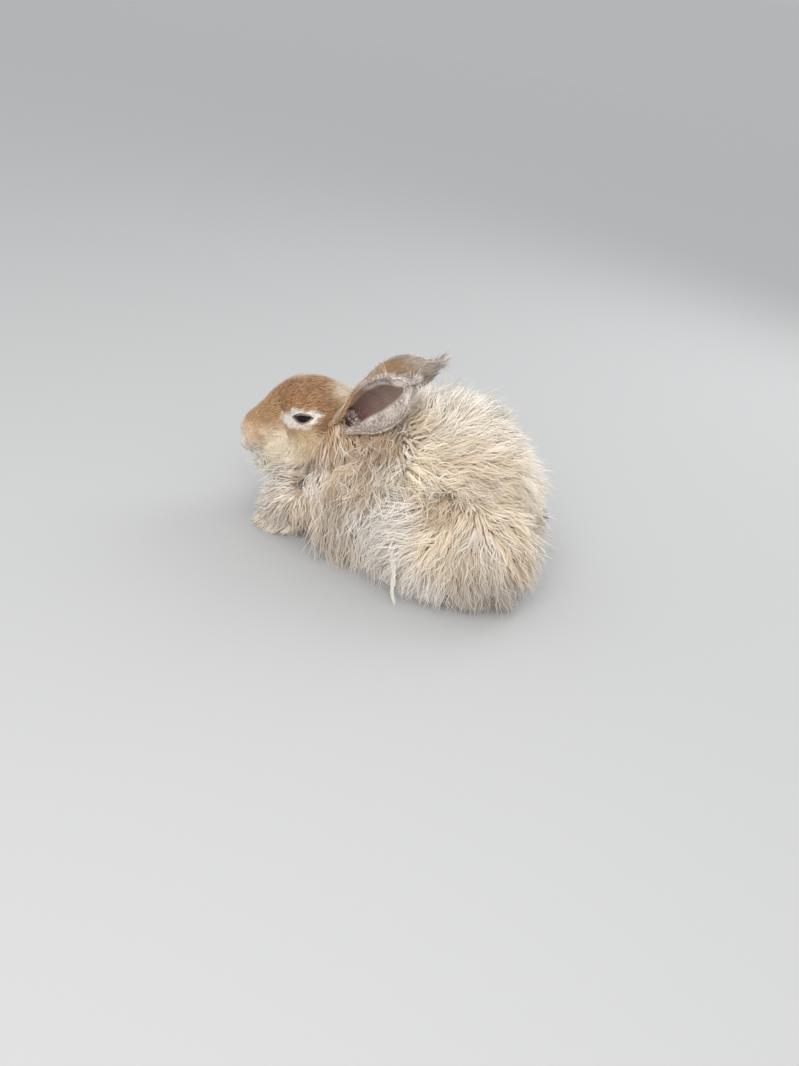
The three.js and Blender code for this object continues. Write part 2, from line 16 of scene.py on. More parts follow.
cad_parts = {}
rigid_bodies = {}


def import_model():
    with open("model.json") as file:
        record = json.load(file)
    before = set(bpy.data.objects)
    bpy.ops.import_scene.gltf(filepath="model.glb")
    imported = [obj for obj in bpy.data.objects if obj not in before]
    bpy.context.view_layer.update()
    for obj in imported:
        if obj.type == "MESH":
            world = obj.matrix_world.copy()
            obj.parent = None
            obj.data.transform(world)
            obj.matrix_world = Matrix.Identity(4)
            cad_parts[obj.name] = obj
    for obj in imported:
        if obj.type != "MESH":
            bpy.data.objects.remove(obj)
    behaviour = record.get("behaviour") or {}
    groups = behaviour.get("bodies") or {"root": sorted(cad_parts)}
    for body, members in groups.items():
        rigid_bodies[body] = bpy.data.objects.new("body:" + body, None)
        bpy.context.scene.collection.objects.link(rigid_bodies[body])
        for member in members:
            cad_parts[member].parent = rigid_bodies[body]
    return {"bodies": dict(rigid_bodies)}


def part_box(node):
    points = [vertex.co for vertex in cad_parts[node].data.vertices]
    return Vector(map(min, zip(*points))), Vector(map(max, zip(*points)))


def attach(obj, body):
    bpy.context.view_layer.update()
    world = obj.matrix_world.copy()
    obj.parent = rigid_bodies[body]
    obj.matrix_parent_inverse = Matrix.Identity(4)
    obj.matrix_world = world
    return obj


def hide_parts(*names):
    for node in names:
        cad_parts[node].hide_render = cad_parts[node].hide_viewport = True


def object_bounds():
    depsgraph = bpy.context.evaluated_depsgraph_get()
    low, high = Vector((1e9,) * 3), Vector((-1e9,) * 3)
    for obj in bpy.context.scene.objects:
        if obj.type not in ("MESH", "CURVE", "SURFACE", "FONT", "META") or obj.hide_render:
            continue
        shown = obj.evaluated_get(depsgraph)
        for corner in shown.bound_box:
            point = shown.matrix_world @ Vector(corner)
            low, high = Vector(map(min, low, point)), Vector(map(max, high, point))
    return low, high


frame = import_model()
cad_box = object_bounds()

MM = 0.001
BODY_NAME = sorted(frame["bodies"])[0]

# Driving dimensions, the same as those of the solids
BODY = 200
HEAD = 97
EAR_LONG = 70
COAT = 36
CHEST_X = -0.45 * BODY
NOSE = np.array([-139.0, -4.0, 74.0])
HEAD_PITCH, HEAD_YAW = 20, 4

# How the render differs from the solids
EYE, EYE_SINK = 16.6, 1.0  # a little larger than the solid eye, and set behind it
FACE_FUR = 2.2  # short fur of the head, which the solids include
FLOOR_CLEAR = 0.5  # lowest level of the coat
VOXEL = 2.4  # of the body's skin
TUFT_PATCH = 0.003  # of a strand on the OFBake map


def vec(*numbers):
    return np.array(numbers, float)


def ways(x, y, z):
    """Points or directions from their three parts, of which some may be the same for all."""
    return np.stack(np.broadcast_arrays(x, y, z), axis=1)


def unit(vectors):
    return vectors / np.maximum(np.linalg.norm(vectors, axis=-1, keepdims=True), 1e-9)


def ramp(value, low, high):
    """A smooth step from 0 at low to 1 at high."""
    share = np.clip((value - low) / (high - low), 0, 1)
    return share * share * (3 - 2 * share)


def mixed(a, b, share):
    return a + (b - a) * share


def curve(pairs, at):
    """A smooth curve through (place, value) pairs, read at many places."""
    places, values = np.array(pairs, float).T
    order = np.arange(len(places))
    before, after = np.maximum(order - 1, 0), np.minimum(order + 1, len(places) - 1)
    slopes = (values[after] - values[before]) / (places[after] - places[before])
    at = np.clip(at, places[0], places[-1])
    i = np.clip(np.searchsorted(places, at, side="right") - 1, 0, len(places) - 2)
    span = places[i + 1] - places[i]
    u = (at - places[i]) / span
    rise = u * u * (3 - 2 * u)
    bend = slopes[i] * u * (1 - u) ** 2 - slopes[i + 1] * u * u * (1 - u)
    return mixed(values[i], values[i + 1], rise) + span * bend


def even(value):
    return [[-1, value], [1, value]]


def ripple(points, size, seed):
    """Smooth noise of about -1 to 1 with features of a size, three values for each point."""
    rng = np.random.default_rng(seed)
    total = np.zeros((len(points), 3))
    waves = 7
    for _ in range(waves):
        way = unit(rng.normal(size=3)) * rng.uniform(0.6, 1.5) * 2 * math.pi / size
        total += np.sin((points @ way)[:, None] + rng.uniform(0, 2 * math.pi, 3))
    return total / math.sqrt(waves)


def around(points, middle, reach):
    """1 at a place, falling off about it over a reach."""
    return np.exp(-np.sum(((points - middle) / reach) ** 2, axis=1))


# Sides, places and turns
SIDES = {"left": -1, "right": 1}


def side_of(points):
    return np.where(points[:, 1] < 0, -1.0, 1.0)


def folded(points):
    """Points with those of the left side moved to the places that match them on the right."""
    return points * [1, 0, 1] + np.abs(points * [0, 1, 0])


def turned(axis, degrees):
    return np.array(Matrix.Rotation(math.radians(degrees), 4, axis))


def moved(x, y, z):
    return np.array(Matrix.Translation((x, y, z)))


def placed(matrix, points):
    return points @ matrix[:3, :3].T + matrix[:3, 3]


def on_side(side, x, y, z, turn_y=0, turn_z=0):
    return moved(x, side * y, z) @ turned("Z", side * turn_z) @ turned("Y", turn_y)


HEAD_PLACE = moved(*NOSE) @ turned("Z", HEAD_YAW) @ turned("Y", -HEAD_PITCH)
HEAD_BACK = np.linalg.inv(HEAD_PLACE)
HEAD_TURN = HEAD_PLACE[:3, :3].T


def eye_middle(side, sink=EYE_SINK):
    return vec(0.68 * HEAD, side * (0.212 * HEAD - sink), 0.107 * HEAD)


def frame_shift():
    """From the rabbit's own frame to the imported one, in millimetres."""
    low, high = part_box("eye_left")
    return np.array((low + high) / 2) / MM - placed(HEAD_PLACE, eye_middle(-1, 0))


SHIFT = frame_shift()


class Form:
    """A round form: a sphere with its poles at the front and the back, each of its points moved to the skin.

    It runs from start to end. Mid, up, down and half are curves along it, from -1 to 1, of its middle's
    level, its height over and under that, and its half width. Blunt and under say how square its ends and
    its under side are.
    """

    ENDS = 0.97  # share of its length within which its curves are read

    def __init__(self, start, end, mid, up, down, half, blunt, under=2, place=None, swell=None):
        self.start, self.end = start, end
        self.mid, self.up, self.down, self.half = mid, up, down, half
        self.blunt, self.under = blunt, under
        self.place = np.eye(4) if place is None else place
        self.back = np.linalg.inv(self.place)
        self.swell = swell

    def skin(self, n):
        ring = np.maximum(np.hypot(n[:, 1], n[:, 2]), 1e-9)
        reach = (1 - np.minimum(np.abs(n[:, 0]), 1) ** self.blunt) ** (1 / self.blunt)
        power = np.where(n[:, 2] < 0, 2 / self.under, 1)
        across = np.sign(n[:, 1]) * np.abs(n[:, 1] / ring) ** power * reach
        upwards = np.sign(n[:, 2]) * np.abs(n[:, 2] / ring) ** power * reach
        height = np.where(upwards > 0, curve(self.up, n[:, 0]), curve(self.down, n[:, 0]))
        along = mixed(self.start, self.end, (n[:, 0] + 1) / 2)
        points = ways(along, curve(self.half, n[:, 0]) * across, curve(self.mid, n[:, 0]) + height * upwards)
        if self.swell:
            points = self.swell(points)
        return placed(self.place, points)

    def normal(self, n):
        step = 0.02
        inner = n * (1 - 1e-4)
        side = np.where(np.abs(n[:, :1]) < 0.9, vec(1, 0, 0), vec(0, 1, 0))
        a = unit(np.cross(side, inner))
        b = unit(np.cross(inner, a))
        along_a = self.skin(unit(inner + a * step)) - self.skin(unit(inner - a * step))
        along_b = self.skin(unit(inner + b * step)) - self.skin(unit(inner - b * step))
        return unit(np.cross(along_a, along_b))

    def share(self, points):
        """Places from -1, the front, to 1, the back."""
        local = placed(self.back, points)
        return (local[:, 0] - self.start) / (self.end - self.start) * 2 - 1

    def far(self, points):
        """About how far points are outside the form, in millimetres, and below zero inside."""
        local = placed(self.back, points)
        t = self.share(points)
        beyond = np.maximum(np.abs(t) - self.ENDS, 0) * (self.end - self.start) / 2
        near = np.clip(t, -self.ENDS, self.ENDS)
        reach = (1 - np.abs(near) ** self.blunt) ** (1 / self.blunt)
        rise = local[:, 2] - curve(self.mid, near)
        height = np.where(rise > 0, curve(self.up, near), curve(self.down, near)) * reach
        wide = curve(self.half, near) * reach
        power = np.where(rise < 0, self.under, 2)
        level = (np.abs(local[:, 1] / wide) ** power + np.abs(rise / height) ** power) ** (1 / power)
        return (level - 1) * np.minimum(wide, height) + beyond


# The forms of the body. Each swell of the head has a middle, a rise to the side and a width
HEAD_SWELLS = [
    (vec(0.11, 0.15, -0.13) * HEAD, 1.6, 6),
    (vec(0.68, 0.28, -0.18) * HEAD, 3.2, 13),
    (vec(0.6, 0.2, 0.27) * HEAD, 1.2, 7),
    (vec(0.42, 0.2, 0.1) * HEAD, -2.2, 9),
]


def swelling(points, middle, width):
    return np.exp(-np.sum((points - middle) ** 2, axis=1) / (2 * width * width))


def head_swell(points):
    out = sum(rise * swelling(folded(points), middle, width) for middle, rise, width in HEAD_SWELLS)
    return points + ways(0, side_of(points) * out, 0)


head = Form(
    0, HEAD, blunt=3, place=HEAD_PLACE, swell=head_swell,
    mid=[[-1, -9], [-0.67, -9], [-0.4, -7], [0, -2], [0.4, 0], [1, 5]],
    up=[
        [-1, 23], [-0.83, 27], [-0.67, 27.5], [-0.4, 28.5], [-0.17, 32.5],
        [0.04, 36.5], [0.24, 38], [0.6, 36], [1, 28],
    ],
    down=[[-1, 25], [-0.83, 26.5], [-0.67, 25.5], [-0.4, 26], [0, 30], [0.4, 31], [0.6, 30], [1, 22]],
    half=[
        [-1, 19], [-0.67, 19.5], [-0.4, 20.5], [-0.17, 23.5],
        [0.04, 26.5], [0.24, 28.5], [0.4, 30], [1, 32],
    ],
)
torso = Form(
    CHEST_X, CHEST_X + BODY, blunt=2.4, under=3.4,
    mid=[[-1, 44], [-0.5, 49], [0, 54], [1, 46]],
    up=[[-1, 36], [-0.5, 46], [0, 60], [0.5, 70], [1, 74]],
    down=[[-1, 30], [-0.5, 36], [0, 42], [1, 36]],
    half=[[-1, 42], [-0.5, 42], [0, 44], [0.5, 55], [1, 62]],
)
neck = Form(
    -34, 34, even(0), even(30), even(36), [[-1, 27], [1, 32]], 2.2, place=on_side(1, -46, 0, 88, -8),
)
tail = Form(-14, 14, even(0), even(15), even(15), even(12), 2, place=on_side(1, 112, 0, 50, -30))


def thigh(side):
    return Form(-50, 52, even(0), even(36), even(32), even(24), 2.4, 3, on_side(side, 68, 53, 42, 5, -6))


def fore_arm(side):
    thick, half = [[-1, 10], [1, 17]], [[-1, 10], [1, 15]]
    return Form(-30, 26, even(0), thick, thick, half, 2.3, 2, on_side(side, -80, 32, 32, -40, 4))


def foot(start, end, half, high, place):
    """A foot lies flat: its under side is level with the floor."""
    def flat(points):
        return ways(points[:, 0], points[:, 1], np.maximum(points[:, 2], 0))
    up = [[-1, high / 2], [1, 0.8 * high]]
    return Form(start, end, even(high / 2), up, even(high), even(half), 2.8, 2, place, flat)


thighs = [thigh(side) for side in SIDES.values()]
fore_arms = [fore_arm(side) for side in SIDES.values()]
feet = [foot(-48, 46, 10, 14, on_side(side, 58, 62, 0, 0, 2)) for side in SIDES.values()]
feet += [foot(-19, 20, 10, 13, on_side(side, -88, 30, 0, 0, -3)) for side in SIDES.values()]


# Meshes
def mesh_piece(name, points, faces, material, colours=None, uv=None, facing=None):
    """An object from points in millimetres and an array of faces.

    Its points may have colours, OFBake places and the ways that they seem to face, which make many thin
    strands look like one soft surface.
    """
    mesh = bpy.data.meshes.new(name)
    sides = faces.shape[1]
    mesh.vertices.add(len(points))
    mesh.vertices.foreach_set("co", ((points + SHIFT) * MM).astype(np.float32).ravel())
    mesh.loops.add(faces.size)
    mesh.loops.foreach_set("vertex_index", faces.astype(np.int32).ravel())
    mesh.polygons.add(len(faces))
    mesh.polygons.foreach_set("loop_start", np.arange(0, faces.size, sides, dtype=np.int32))
    mesh.update(calc_edges=True)
    mesh.polygons.foreach_set("use_smooth", np.ones(len(faces), bool))
    if colours is not None:
        paint(mesh, colours)
    if uv is not None:
        layer = mesh.uv_layers.new(name="OFBake")
        layer.data.foreach_set("uv", uv[faces.ravel()].astype(np.float32).ravel())
    if facing is not None:
        mesh.normals_split_custom_set_from_vertices(facing.tolist())
    mesh.materials.append(material)
    piece = bpy.data.objects.new(name, mesh)
    bpy.context.collection.objects.link(piece)
    return piece


def mounted(piece, slot, *solids):
    """Puts a piece on the rabbit's body, in place of solids if they are named."""
    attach(piece, BODY_NAME)
    if solids:
        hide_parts(*solids)


def paint(mesh, colours):
    layer = mesh.color_attributes.new("markings", "FLOAT_COLOR", "POINT")
    rgba = np.ones((len(colours), 4), np.float32)
    rgba[:, :3] = colours
    layer.data.foreach_set("color", rgba.ravel())


def places_of(mesh):
    """A mesh's points in millimetres in the rabbit's own frame."""
    flat = np.empty(3 * len(mesh.vertices), np.float32)
    mesh.vertices.foreach_get("co", flat)
    return flat.reshape(-1, 3).astype(float) / MM - SHIFT


def ball(columns, rows):
    """Directions and triangles of a sphere with its poles at the front and the back."""
    theta = np.linspace(0, math.pi, rows + 1)[1:-1]
    phi = np.linspace(0, 2 * math.pi, columns, endpoint=False)
    t, p = (part.ravel() for part in np.meshgrid(theta, phi, indexing="ij"))
    rings = ways(-np.cos(t), np.sin(t) * np.cos(p), np.sin(t) * np.sin(p))
    n = np.vstack([rings, vec(-1, 0, 0), vec(1, 0, 0)])
    grid = np.arange(len(rings)).reshape(rows - 1, columns)
    right = np.roll(grid, -1, axis=1)
    a, b, c, d = grid[:-1].ravel(), right[:-1].ravel(), right[1:].ravel(), grid[1:].ravel()
    faces = np.vstack([
        ways(a, b, c),
        ways(a, c, d),
        ways(len(rings), right[0], grid[0]),
        ways(len(rings) + 1, grid[-1], right[-1]),
    ])
    return n, faces


# Materials
def linear(red, green, blue):
    """The light of a colour that is given as it looks, from 0 to 255."""
    c = vec(red, green, blue) / 255
    return np.where(c <= 0.04045, c / 12.92, ((c + 0.055) / 1.055) ** 2.4)


def new_material(name, roughness):
    material = bpy.data.materials.new(name)
    material.use_nodes = True
    tree = material.node_tree
    shader = tree.nodes["Principled BSDF"]
    shader.inputs["Roughness"].default_value = roughness
    return material, tree, shader


def painted(tree):
    """The colours that are painted on a mesh."""
    colour = tree.nodes.new("ShaderNodeVertexColor")
    colour.layer_name = "markings"
    return colour.outputs["Color"]


def noise(tree, size, detail):
    """Noise with features of a size in millimetres."""
    place = tree.nodes.new("ShaderNodeTexCoord")
    grains = tree.nodes.new("ShaderNodeTexNoise")
    grains.inputs["Scale"].default_value = 1 / (size * MM)
    grains.inputs["Detail"].default_value = detail
    tree.links.new(place.outputs["Object"], grains.inputs["Vector"])
    return grains.outputs["Fac"]


def marked_material(name, roughness, grain, grain_size, bump=0, bump_size=1):
    """The painted markings, with a fine grain in the colour and in the surface. Sizes are in millimetres."""
    material, tree, shader = new_material(name, roughness)
    nodes, links = tree.nodes, tree.links
    spread = nodes.new("ShaderNodeMapRange")
    spread.inputs["To Min"].default_value = 1 - grain
    spread.inputs["To Max"].default_value = 1 + grain
    tint = nodes.new("ShaderNodeVectorMath")
    tint.operation = "SCALE"
    links.new(noise(tree, grain_size, 3), spread.inputs["Value"])
    links.new(painted(tree), tint.inputs[0])
    links.new(spread.outputs["Result"], tint.inputs["Scale"])
    links.new(tint.outputs[0], shader.inputs["Base Color"])
    if bump:
        rough = nodes.new("ShaderNodeBump")
        rough.inputs["Strength"].default_value = 0.6
        rough.inputs["Distance"].default_value = bump * MM
        links.new(noise(tree, bump_size, 4), rough.inputs["Height"])
        links.new(rough.outputs["Normal"], shader.inputs["Normal"])
    return material, shader


def fur_material(name, roughness):
    material, shader = marked_material(name, roughness, 0.06, 6)
    shader.inputs["Specular IOR Level"].default_value = 0.25
    shader.inputs["Sheen Weight"].default_value = 0.4
    shader.inputs["Sheen Roughness"].default_value = 0.5
    return material


skin_look, _ = marked_material("undercoat", 0.9, 0.16, 3, 0.8, 1.4)
face_look = fur_material("face_fur", 0.65)
coat_look = fur_material("angora_wool", 0.7)
ear_look, ear_shader = marked_material("ear_skin", 0.55, 0.1, 5, 0.15, 0.8)
ear_shader.inputs["Specular IOR Level"].default_value = 0.15
ear_shader.inputs["Subsurface Weight"].default_value = 0.15
ear_shader.inputs["Subsurface Scale"].default_value = 0.002
lid_look, _ = marked_material("lid_rim", 0.3, 0.1, 1)


# Markings: patches of colour, each with a middle, a reach and a colour, on the head in its own frame and on
# the body. They are given for the right side and are the same on the left
RUST, TAN, GOLD = linear(156, 108, 68), linear(182, 142, 102), linear(216, 186, 146)
CREAM, PALE, WHITE = linear(232, 214, 188), linear(238, 228, 212), linear(246, 240, 232)
FAWN, GREYISH, SHADE = linear(212, 186, 156), linear(204, 195, 186), linear(172, 140, 110)
MILK, BROWN = linear(255, 238, 210), linear(136, 94, 60)
# The last two are painted shade: low on the haunch by the floor, and in the crease from the ruff to the
# shoulder
ASH, LOW_HAUNCH_SHADE, CREASE_SHADE = linear(210, 195, 178), linear(186, 176, 166), linear(88, 72, 60)
HEAD_MARKS = [
    ((0, 0, 3), 7, GREYISH),
    ((3, 7, -13), 9, ASH),
    ((8, 6, -25), 6, WHITE),
    ((16, 14, -4), 9, FAWN),
    ((22, 0, 16), 14, TAN),
    ((45, 0, 24), 16, RUST),
    ((66, 0, 38), 18, BROWN),
    ((84, 0, 40), 14, BROWN),
    ((60, 22, 26), 12, RUST),
    ((40, 18, 12), 10, TAN),
    ((25, 14, 7), 8, TAN),
    ((19, 16, -7), 7, TAN),
    ((12, 14, -13), 6, GREYISH),
    ((28, 17, -4), 7, CREAM),
    ((29, 19, -13), 9, CREAM),
    ((44, 24, -14), 12, MILK),
    ((54, 28, 1), 6, TAN),
    ((54, 24, -24), 9, CREAM),
    ((66, 28, -10), 9, GOLD),
    ((74, 28, -22), 12, CREAM),
    ((46, 14, -32), 14, PALE),
    ((25, 10, -28), 12, PALE),
    ((84, 28, 6), 9, BROWN),
    ((91, 26, -8), 8, TAN),
    ((98, 4, 26), 7, ASH),
    ((102, 12, 30), 8, CREAM),
    ((99, 28, 3), 6, PALE),
]
BODY_MARKS = [
    ((-104, 0, 55), 26, WHITE),
    ((-108, 22, 46), 12, GREYISH),
    ((-97, 48, 34), 14, GREYISH),
    ((-100, 30, 52), 8, WHITE),
    ((-96, 0, 12), 16, GREYISH),
    ((-94, 44, 6), 10, PALE),
    ((-40, 0, 128), 14, CREAM),
    # painted shade under the lower edge of the cheek
    ((-84, 31, 64), 8, FAWN),
    # painted shade along the crease from the ruff to the shoulder, down to the next mark
    ((-66, 28, 74), 5, CREASE_SHADE),
    ((-69, 32, 64), 7, CREASE_SHADE),
    ((-70, 38, 55), 6, CREASE_SHADE),
    ((-70, 46, 46), 4, SHADE),
    ((-2, 40, 100), 9, SHADE),
    ((-66, 60, 48), 10, WHITE),
    ((-60, 60, 34), 12, CREAM),
    ((-37, 52, 22), 14, ASH),
    ((-60, 26, 100), 8, TAN),
    ((-52, 40, 90), 7, SHADE),
    ((-33, 45, 103), 4, WHITE),
    ((-24, 45, 99), 8, SHADE),
    ((-39, 48, 92), 7, FAWN),
    ((-24, 65, 83), 10, FAWN),
    ((10, 16, 119), 9, BROWN),
    ((24, 22, 119), 8, FAWN),
    ((4, 56, 94), 7, PALE),
    ((-10, 62, 76), 8, FAWN),
    ((39, 64, 94), 9, MILK),
    ((30, 60, 108), 10, MILK),
    ((0, 76, 62), 12, WHITE),
    ((19, 85, 50), 12, WHITE),
    ((33, 86, 5), 18, WHITE),
    ((-23, 62, 3), 16, PALE),
    ((20, 0, 138), 26, PALE),
    ((64, 46, 115), 16, CREAM),
    ((60, 0, 134), 26, PALE),
    # painted shade in a crease of the flank
    ((52, 69, 74), 7, FAWN),
    ((50, 80, 54), 9, MILK),
    # painted shade in a fold of the haunch
    ((87, 83, 62), 8, GREYISH),
    ((87, 56, 91), 16, CREAM),
    ((74, 86, 40), 14, CREAM),
    # painted shade low on the haunch by the floor
    ((84, 87, 13), 20, LOW_HAUNCH_SHADE),
    ((60, 90, 14), 12, WHITE),
    ((99, 39, 104), 18, CREAM),
    ((114, 48, 72), 18, CREAM),
    ((116, 0, 90), 26, PALE),
    ((118, 0, 20), 26, GREYISH),
]


def patched(points, marks):
    """Colours that pass from each mark's into the next one's."""
    total, weight = np.zeros((len(points), 3)), np.full((len(points), 1), 1e-12)
    right = folded(points)
    for middle, reach, colour in marks:
        far = np.sum((right - vec(*middle)) ** 2, axis=1) / reach ** 2
        share = (np.exp(-far) + 0.001 / (1 + far) ** 2)[:, None]
        total += share * colour
        weight += share
    return total / weight


# Eyes' places
EYE_TURN = 8
EYE_OPEN, EYE_HIGH = 16.8, 7.8
LID = 1.0  # how far the lids stand over the ball
RING_LONG, RING_HIGH, RING_DEEP = 19.2, 9.6, 24  # reach of the white fur round an eye
RING_AHEAD, RING_LEAN = 2.6, 0.24


def eye_axes(side):
    """The directions along an eye's opening, up across it and out of it, in the head's frame."""
    turn = math.radians(EYE_TURN)
    return vec(math.cos(turn), 0, -math.sin(turn)), vec(math.sin(turn), 0, math.cos(turn)), vec(0, side, 0)


def eye_far(local):
    """How far points of the head's frame are from the nearer eye, as a share of its white ring's reach."""
    along, up, _ = eye_axes(1)
    away = folded(local) - eye_middle(1)
    x, z = away @ along + RING_AHEAD, away @ up
    z = z - RING_LEAN * np.minimum(x, 0)
    return np.sqrt((x / RING_LONG) ** 2 + (z / RING_HIGH) ** 2 + (away[:, 1] / RING_DEEP) ** 2)


def almond(along, up):
    """How far places on an eye's front are outside the opening of its lids, below zero inside."""
    half = EYE_OPEN / 2
    height = EYE_HIGH / 2 * (1 - np.minimum(np.abs(along) / half, 1) ** 2)
    over = np.abs(up) - height
    return np.where(np.abs(along) < half, over, np.hypot(np.abs(along) - half, np.abs(up)))


def about_eye(local, side):
    """How far and which way points are from an eye's middle, and how far they are outside its opening."""
    along, up, _ = eye_axes(side)
    away = local - eye_middle(side)
    distance = np.linalg.norm(away, axis=1)
    scale = np.maximum(1, (EYE / 2 + LID) / distance)
    return distance, away / distance[:, None], almond(away @ along * scale, away @ up * scale)


def opening_far(local):
    """How far points of the head's frame are outside the nearer eye's opening, in millimetres, up to 9."""
    best = np.full(len(local), 9.0)
    for side in SIDES.values():
        distance, way, outside = about_eye(local, side)
        near = (side * way[:, 1] > 0.2) & (distance < 1.3 * EYE)
        best = np.where(near, np.minimum(best, outside), best)
    return best


# Grooves of the face: lines on its skin, each with its depth and its width
def line_away(points, path):
    """From the nearest place of a chain of points to each point."""
    best = np.full((len(points), 3), 1e3)
    for a, b in zip(path[:-1], path[1:]):
        run = b - a
        share = np.clip((points - a) @ run / (run @ run), 0, 1)
        away = points - a - share[:, None] * run
        closer = np.sum(away ** 2, axis=1) < np.sum(best ** 2, axis=1)
        best = np.where(closer[:, None], away, best)
    return best


def line_distance(points, path):
    return np.linalg.norm(line_away(points, path), axis=1)


def face_path(*directions):
    """Places of the head's skin in its own frame, in directions from its middle."""
    return placed(HEAD_BACK, head.skin(unit(np.array(directions, float))))


def nostril(side):
    return face_path((-1, side * 0.07, 0.1), (-1, side * 0.16, 0.18), (-1, side * 0.25, 0.24))


def lip(side):
    return face_path(
        (-1, side * 0.01, -0.32), (-1, side * 0.34, -0.44),
        (-0.86, side * 0.62, -0.62), (-0.62, side * 0.8, -0.66),
    )


GROOVES = [(face_path((-1, 0, 0.03), (-1, 0, -0.15), (-1, 0, -0.33)), 1.6, 0.9)]
GROOVES += [(nostril(side), 2, 1) for side in SIDES.values()]
GROOVES += [(lip(side), 1.8, 1.1) for side in SIDES.values()]
GROOVE_REACH = 1.1  # of the painted shade along the grooves
GROOVE_SHADE, LID_DARK = linear(112, 82, 66), linear(92, 74, 70)


def markings(points):
    """The colour of skin and coat at points of the rabbit's own frame, with painted shade along the face's
    grooves and, through some marks, in creases and low on the body.
    """
    local = placed(HEAD_BACK, points)
    face = patched(local, HEAD_MARKS)
    ring = 1 - ramp(eye_far(local) + 0.12 * ripple(points, 6, 7)[:, 0], 0.62, 1.12)
    face = mixed(face, WHITE, 0.95 * ring[:, None])
    line = np.min([line_distance(local, path) for path, _, _ in GROOVES], axis=0)
    # painted shade: a dark line along the cleft, the nostrils and the lips, where the skin folds in
    face = mixed(face, GROOVE_SHADE, 0.75 * np.exp(-(line / GROOVE_REACH) ** 2)[:, None])
    face = mixed(face, LID_DARK, 1 - ramp(opening_far(local), 0.7, 1.7)[:, None])
    body = patched(points, BODY_MARKS)
    share = 1 - ramp(head.far(points) + 0.35 * np.maximum(local[:, 0] - 0.9 * HEAD, 0), 3, 13)
    colour = mixed(body, face, share[:, None])
    return colour * (1 + 0.07 * ripple(points, 26, 5)[:, :1] + 0.05 * ripple(points, 9, 6)[:, :1])


# Skin. Each push of the head has a middle, a direction, a size and a width
LID_EDGE = 0.6  # over which a lid's edge drops
LID_FOLD = 1.1  # how far the fold of a lid stands up behind its edge
SOCKET = 2.5  # how far the skin goes back behind the ball's face
HEAD_PUSHES = [
    (vec(34, 0, 22), vec(-0.3, 0, 1), 3.5, 13),
    (vec(0, 0, 3.5), vec(-1, 0, 0.15), 3.4, 4.6),
    (vec(0, 0, -6.5), vec(1, 0, 0), 7.5, 3.2),
    (vec(3, -7, -14), vec(-0.85, -0.5, 0), 3.4, 5),
    (vec(3, 7, -14), vec(-0.85, 0.5, 0), 3.4, 5),
    (vec(3, 0, -27), vec(1, 0, 0.3), 5.5, 6),
]


def with_lids(local):
    """Skin points of the head's frame, raised into lids round each eye and set behind the ball in between."""
    for side in SIDES.values():
        distance, way, outside = about_eye(local, side)
        lid = np.maximum(distance, EYE / 2 + LID)
        lid += LID_FOLD * np.exp(-((distance - EYE / 2 - LID) / 1.5) ** 2) * ramp(outside, 0.2, 2)
        reach = mixed(EYE / 2 - SOCKET, lid, ramp(outside, -0.3, LID_EDGE))
        near = (side * way[:, 1] > 0.25) & (outside < 9)
        local = np.where(near[:, None], eye_middle(side) + way * reach[:, None], local)
    return local


def head_skin():
    """The head's skin, short fur's depth inside its form, with lids, nostrils, cleft and lips.

    It is also pushed out over the bridge, the nose and the lips, and in below the nose and at the chin.
    """
    n, faces = ball(230, 250)
    points = head.skin(n)
    local = placed(HEAD_BACK, points)
    outward = placed(HEAD_BACK, points + head.normal(n)) - local
    depth = FACE_FUR * mixed(0.35, 1, ramp(local[:, 0], 2, 22))
    for path, deep, wide in GROOVES:
        depth = depth + deep * np.exp(-(line_distance(local, path) / wide) ** 2)
    local = local - outward * depth[:, None]
    for middle, way, push, width in HEAD_PUSHES:
        local = local + push * swelling(local, middle, width)[:, None] * way
    return placed(HEAD_PLACE, with_lids(local)), faces


def body_skin():
    """The body without the head as one skin: its forms, joined in one voxel mesh and smoothed."""
    points, faces, count = [], [], 0
    for form in [neck, torso, tail, *thighs, *fore_arms, *feet]:
        n, ring = ball(64, 48)
        points.append(form.skin(n))
        faces.append(ring + count)
        count += len(n)
    piece = mesh_piece("body_skin", np.vstack(points), np.vstack(faces), skin_look)
    voxels = piece.modifiers.new("voxels", "REMESH")
    voxels.mode = "VOXEL"
    voxels.voxel_size = VOXEL * MM
    smooth = piece.modifiers.new("smooth", "SMOOTH")
    smooth.factor = 0.5
    smooth.iterations = 6
    return piece


def applied(piece):
    """Swaps a piece's mesh for the one that its modifiers make."""
    shown = piece.evaluated_get(bpy.context.evaluated_depsgraph_get())
    mesh = bpy.data.meshes.new_from_object(shown)
    piece.modifiers.clear()
    piece.data = mesh
    return piece


def make_skin():
    """The head's and the body's skin as one, in place of all the solids of flesh."""
    points, faces = head_skin()
    piece = mesh_piece("skin", points, faces, skin_look)
    body = applied(body_skin())
    join = piece.modifiers.new("join", "BOOLEAN")
    join.operation = "UNION"
    join.solver = "MANIFOLD"
    join.object = body
    mesh = applied(piece).data
    bpy.data.objects.remove(body)
    mesh.name = "skin"
    mesh.polygons.foreach_set("use_smooth", np.ones(len(mesh.polygons), bool))
    paint(mesh, 0.9 * markings(places_of(mesh)))
    legs = [f"{pair}leg_{side}" for pair in ("hind", "fore") for side in SIDES]
    mounted(piece, "body_coat", "head", "neck", "torso", "tail", *legs)
    return mesh


